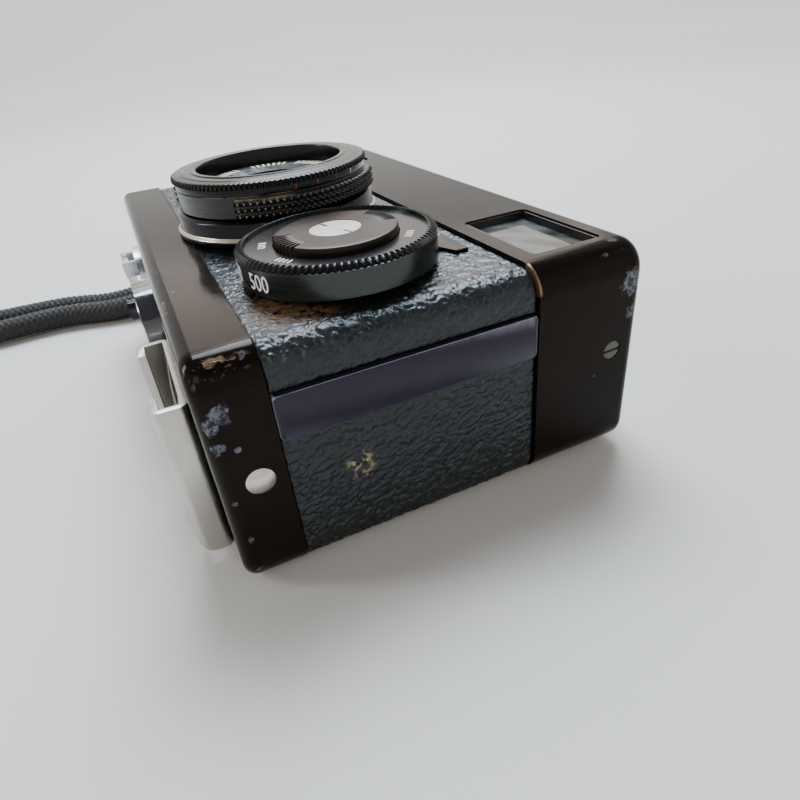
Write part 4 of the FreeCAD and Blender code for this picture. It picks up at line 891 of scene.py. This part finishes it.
def distance_ring(band):
    """Smooth scale band, fine knurl, convex shoulder and a raised lip round the deep mouth."""
    radius, base, top = turned_size("focus_ring", LENS)
    mouth, seat = 11.76, 12.5
    profile = [(mouth, base), (seat, base), (seat, band)]
    profile += steps(radius, band, (-0.42, 0), (-0.4, 0.85), (-0.42, 0.90), (-0.1, 0.95), (0, 1.05))
    profile += steps(radius, top, (0, -0.72), (-0.25, -0.45), (-0.45, -0.40), (-1.3, -0.24), (-1.45, -0.32),
                     (-1.6, -0.22), (-2.6, -0.12), (-2.95, -0.2), (-3.15, -0.14), (-3.3, 0), (-3.9, 0))
    profile += steps(mouth, top, (0.12, -0.12), (0.02, -0.4))
    depths = {6: 0.26, 7: 0.40, 8: 0.40, 9: 0.20}

    def fine(i, angle):
        return -depths.get(i, 0) * tooth(angle, RING_TEETH, 0.6), 0

    lathe("distance_ring", "focus_ring", profile, LENS, RING_TEETH * 8, "focus_ring", BLACK_SATIN, fine)
    for i, number in enumerate("3 4 5 7 10 20".split()):
        shape = around(LENS, radius - 0.41, band + 0.45, math.radians(-1 + 13 * i))
        ink = RED_INK if i < 3 else WHITE_INK
        label("distance_mark_" + number, number, 0.95, "focus_ring", ink, shape)


def lettering_angles():
    """Places of the ring's marks: groups of even strokes, where the real ring has words."""
    return [start + step * 5.5 for start in (0, 52, 104, 152, 204, 256, 308) for step in range(7)]


def lens_collar():
    """Fixed collar: a base flange with a polished bevel under a slimmer wall."""
    radius, base, top = turned_size("lens_collar", LENS)
    bore, foot, floor = 13.62, radius - 1.6, FRONT / MM + 0.1
    profile = [(bore, base), (foot, base), (foot, floor)]
    profile += steps(radius, floor, (-0.1, 0), (0, 0.1), (0, 0.8), (-0.08, 0.9), (-0.42, 1.15),
                     (-0.5, 1.25))
    profile += steps(radius, top, (-0.5, -0.5), (-0.6, -0.35), (-0.95, -0.02), (-1.1, 0)) + [(bore, top)]
    lathe("lens_collar_turned", "lens_collar", profile, LENS, 192, "camera_body", COLLAR, crease=50)


def build_lens():
    lens_collar()
    distance_ring(grip_ring() + 0.1)
    level = high("name_ring").z / MM
    scale_strokes("lens_ring_strokes", LENS, level, 8.9, 10.9, lettering_angles(), "front_cell", 0.46,
                  CREAM_INK)


# ---------------------------------------------------------------- strap

def smooth_path(points, step):
    """Even points along a smooth curve through the given ones (Catmull-Rom)."""
    dense = []
    pts = [points[0] * 2 - points[1]] + points + [points[-1] * 2 - points[-2]]
    for p0, p1, p2, p3 in zip(pts, pts[1:], pts[2:], pts[3:]):
        for k in range(40):
            t = k / 40
            dense.append(0.5 * ((2 * p1) + (p2 - p0) * t + (2 * p0 - 5 * p1 + 4 * p2 - p3) * t * t
                                + (3 * p1 - p0 - 3 * p2 + p3) * t ** 3))
    dense.append(points[-1])
    lengths = [0.0]
    for a, b in zip(dense, dense[1:]):
        lengths.append(lengths[-1] + (b - a).length)
    total, out, k = lengths[-1], [], 0
    count = int(total / step)
    for i in range(count + 1):
        want = total * i / count
        while k < len(dense) - 2 and lengths[k + 1] < want:
            k += 1
        share = (want - lengths[k]) / max(1e-9, lengths[k + 1] - lengths[k])
        out.append(dense[k].lerp(dense[k + 1], share))
    return out


def braided(path, radius, strands=8, pitch=11.0):
    """Round cord whose surface is woven from two crossing families of strands."""
    ring = 64
    points = []
    travelled = 0.0
    up = Vector((0, 0, 1))
    for i, p in enumerate(path):
        ahead = path[min(i + 1, len(path) - 1)] - path[max(i - 1, 0)]
        tangent = ahead.normalized()
        side = tangent.cross(up).normalized()
        over = side.cross(tangent)
        if i:
            travelled += (p - path[i - 1]).length
        for k in range(ring):
            angle = 2 * math.pi * k / ring
            turn = angle * strands / (2 * math.pi)
            along = travelled / pitch * strands
            right = (turn + along) % 1.0
            left = (turn - along) % 1.0
            cell = (math.floor(turn + along) + math.floor(turn - along)) % 2
            hump = math.sin(math.pi * (right if cell else left))
            across = math.sin(math.pi * (left if cell else right))
            r = radius * (0.82 + 0.18 * (hump ** 0.7) * (0.55 + 0.45 * across))
            points.append((p + (side * math.cos(angle) + over * math.sin(angle)) * r) * MM)
    add_mesh("wrist_cord", points, ring_walls(len(path), ring), "camera_body", CORD,
             replaces=("wrist_strap",))


def build_strap():
    """Wrist cord folded double, with its sleeve and the thin loop through the eye."""
    end = low("back_leatherette").x / MM - 0.5
    lie = 2.9
    near = [Vector((end - out, y, z)) for out, y, z in (
        (3.6, -10, 17.5), (4.2, -16, 12.2), (5.6, -26, 5.6), (8.1, -39, lie), (12, -52, lie),
        (11.9, -66, lie), (10.6, -80, lie))]
    apart = (5.8, 5.8, 5.8, 5.8, 6.6, 8.2, 10.6)
    far = [p - Vector((gap, 0, 0)) for p, gap in zip(near, apart)]
    tip = (near[-1] + far[-1]) * 0.5
    bend = [tip + Vector((4.4, -5, 0)), tip + Vector((0, -7.4, 0)), tip + Vector((-4.4, -5, 0))]
    braided(smooth_path(near + bend + far[::-1], 0.22), 2.7)
    top, down = (near[0] + far[0]) / 2, (near[1] - near[0]).normalized()
    cord_sleeve(top, down)
    eye = centre("strap_lug") / MM
    bar = Vector((end - 3.5, eye.y, eye.z))
    tube("strap_neck", smooth_path([bar - Vector((0, 0, 1.9)), bar.lerp(top, 0.5), top], 0.3), 0.9)
    turns = 36
    angles = [2 * math.pi * k / turns for k in range(turns)]
    ring = [bar + Vector((1.5 * math.cos(a), 0, 1.5 * math.sin(a))) for a in angles]
    tube("strap_ring", ring, 0.6, closed=True)


def cord_sleeve(middle, down):
    """Stitched leather sleeve that holds the two cords together under the eye."""
    wide, deep, tall, corner, turns = 5.95, 3.2, 2.5, 2.4, 12
    across = Vector((1, 0, 0))
    across = (across - down * across.dot(down)).normalized()
    out = down.cross(across)
    outline = []
    for quarter, (sx, sy) in enumerate(((1, 1), (-1, 1), (-1, -1), (1, -1))):
        for k in range(turns + 1):
            angle = math.pi / 2 * (quarter + k / turns)
            outline.append((sx * (wide - corner) + corner * math.cos(angle),
                            sy * (deep - corner) + corner * math.sin(angle)))
    levels = [(rise - tall, inset) for rise, inset in (
        (0, -0.5), (0.12, -0.12), (0.4, 0.0), (0.9, 0.0), (1.0, -0.14), (1.2, -0.14), (1.3, 0.0))]
    levels += [(-level, inset) for level, inset in levels[::-1]]
    points = []
    for level, inset in levels:
        shrink = 1 + inset / wide
        points += [(middle + down * level + across * (u * shrink) + out * (v * shrink)) * MM
                   for u, v in outline]
    add_mesh("strap_sleeve", points, ring_walls(len(levels), len(outline)), "camera_body", SLEEVE)


def tube(name, path, radius, closed=False):
    """Thin round cord along a path; closed joins its ends."""
    ring, count = 20, len(path)
    points = []
    for i, spot in enumerate(path):
        after = path[(i + 1) % count] if closed else path[min(i + 1, count - 1)]
        before = path[i - 1] if closed else path[max(i - 1, 0)]
        tangent = (after - before).normalized()
        side = Vector((0, 1, 0)).cross(tangent).normalized()
        over = tangent.cross(side)
        for k in range(ring):
            angle = 2 * math.pi * k / ring
            r = radius * (0.96 + 0.04 * math.sin(3 * angle + 1.6 * i))
            points.append((spot + (side * math.cos(angle) + over * math.sin(angle)) * r) * MM)
    add_mesh(name, points, ring_walls(count, ring, closed), "camera_body", CORD)


# ---------------------------------------------------------------- stage

def build_stage():
    """Pale floor that curves up into a wall far away, so there is no horizon line; it glows a little
    with distance, to stay evenly pale."""
    flat, rise, steps, turns = 1.6, 1.1, 10, 64
    rings = [(0.02, 0.0), (0.4, 0.0), (flat, 0.0)]
    rings += [(flat + rise * math.sin(a), rise * (1 - math.cos(a)))
              for a in (math.pi / 2 * k / steps for k in range(1, steps + 1))]
    rings += [(flat + rise, height) for height in (1.5, 2.0, 2.5, 3.0)]
    points, faces = [(0, 0, 0)], []
    for r, z in rings:
        points += [(r * math.cos(2 * math.pi * t / turns), r * math.sin(2 * math.pi * t / turns), z)
                   for t in range(turns)]
    for t in range(turns):
        after = (t + 1) % turns
        faces.append((0, 1 + t, 1 + after))
        for k in range(len(rings) - 1):
            a, b = 1 + k * turns, 1 + (k + 1) * turns
            faces.append((a + t, b + t, b + after, a + after))
    mesh = bpy.data.meshes.new("floor")
    mesh.from_pydata(points, [], faces)
    floor = bpy.data.objects.new("floor", mesh)
    floor.location.z = -0.0002
    bpy.context.scene.collection.objects.link(floor)
    for polygon in mesh.polygons:
        polygon.use_smooth = True
    look = Look("pale_floor")
    outward = look.span(look.distance((0, 0, 0)), 0.35, flat * 0.8, 0.0, 0.62)
    upward = look.span(look.part(look.place, 2), rise * 0.7, 2.2, 1.0, 0.4)
    look.set(Base_Color=look.mix(look.noise(3, 3), (0.60, 0.58, 0.55), (0.66, 0.64, 0.61)), Roughness=0.65,
             Emission_Color=(0.86, 0.86, 0.86), Emission_Strength=look.times(outward, upward))
    mesh.materials.append(look.material)


def area(name, spot, target, size, power, colour=(1, 1, 1)):
    data = bpy.data.lights.new(name, "AREA")
    data.shape = "RECTANGLE"
    data.size, data.size_y = size
    data.energy = power
    data.color = colour
    obj = bpy.data.objects.new(name, data)
    obj.location = spot
    obj.rotation_euler = (Vector(target) - Vector(spot)).to_track_quat("-Z", "Y").to_euler()
    bpy.context.scene.collection.objects.link(obj)


def build_lights():
    aim = (0.0, 0.0, 0.02)
    area("window_light", (-0.30, 0.16, 0.62), aim, (0.42, 0.30), 9.0, (0.72, 0.86, 1.0))
    area("far_light", (-1.2, 0.5, 1.3), (-1.0, 0.4, 0.0), (1.2, 1.2), 14.0)
    area("back_panel", (-0.75, 0.30, 0.52), aim, (0.8, 0.45), 1.6, (1.0, 0.84, 0.74))
    area("side_light", (-0.25, -0.60, 0.35), aim, (0.12, 0.35), 2.2, (0.9, 0.95, 1.0))
    area("fill_light", (0.55, -0.30, 0.55), aim, (0.3, 0.3), 1.0, (1.0, 0.93, 0.85))
    world = bpy.data.worlds.new("studio")
    bpy.context.scene.world = world
    world.use_nodes = True
    world.node_tree.nodes["Background"].inputs["Color"].default_value = (0.80, 0.80, 0.82, 1)
    world.node_tree.nodes["Background"].inputs["Strength"].default_value = 0.16


def build_camera():
    """Camera at the photograph's viewing angle, worked out from the body's size."""
    data = bpy.data.cameras.new("camera")
    data.sensor_width = 36.0
    data.lens = 26.7
    data.clip_start, data.clip_end = 0.005, 20
    camera = bpy.data.objects.new("camera", data)
    bpy.context.scene.collection.objects.link(camera)
    forward = Vector((-0.78073, 0.31412, -0.54018)).normalized()
    right = Vector((0.42543, 0.90037, -0.0913)).normalized()
    up = right.cross(forward)
    right = forward.cross(up)
    turn = Matrix((right, up, -forward)).transposed().to_4x4()
    camera.matrix_world = Matrix.Translation(Vector((104.08, -29.42, 59.07)) * MM) @ turn
    bpy.context.scene.camera = camera


dress_cad()
build_coverings()
build_dials()
build_lens()
build_strap()
build_stage()
build_lights()
build_camera()
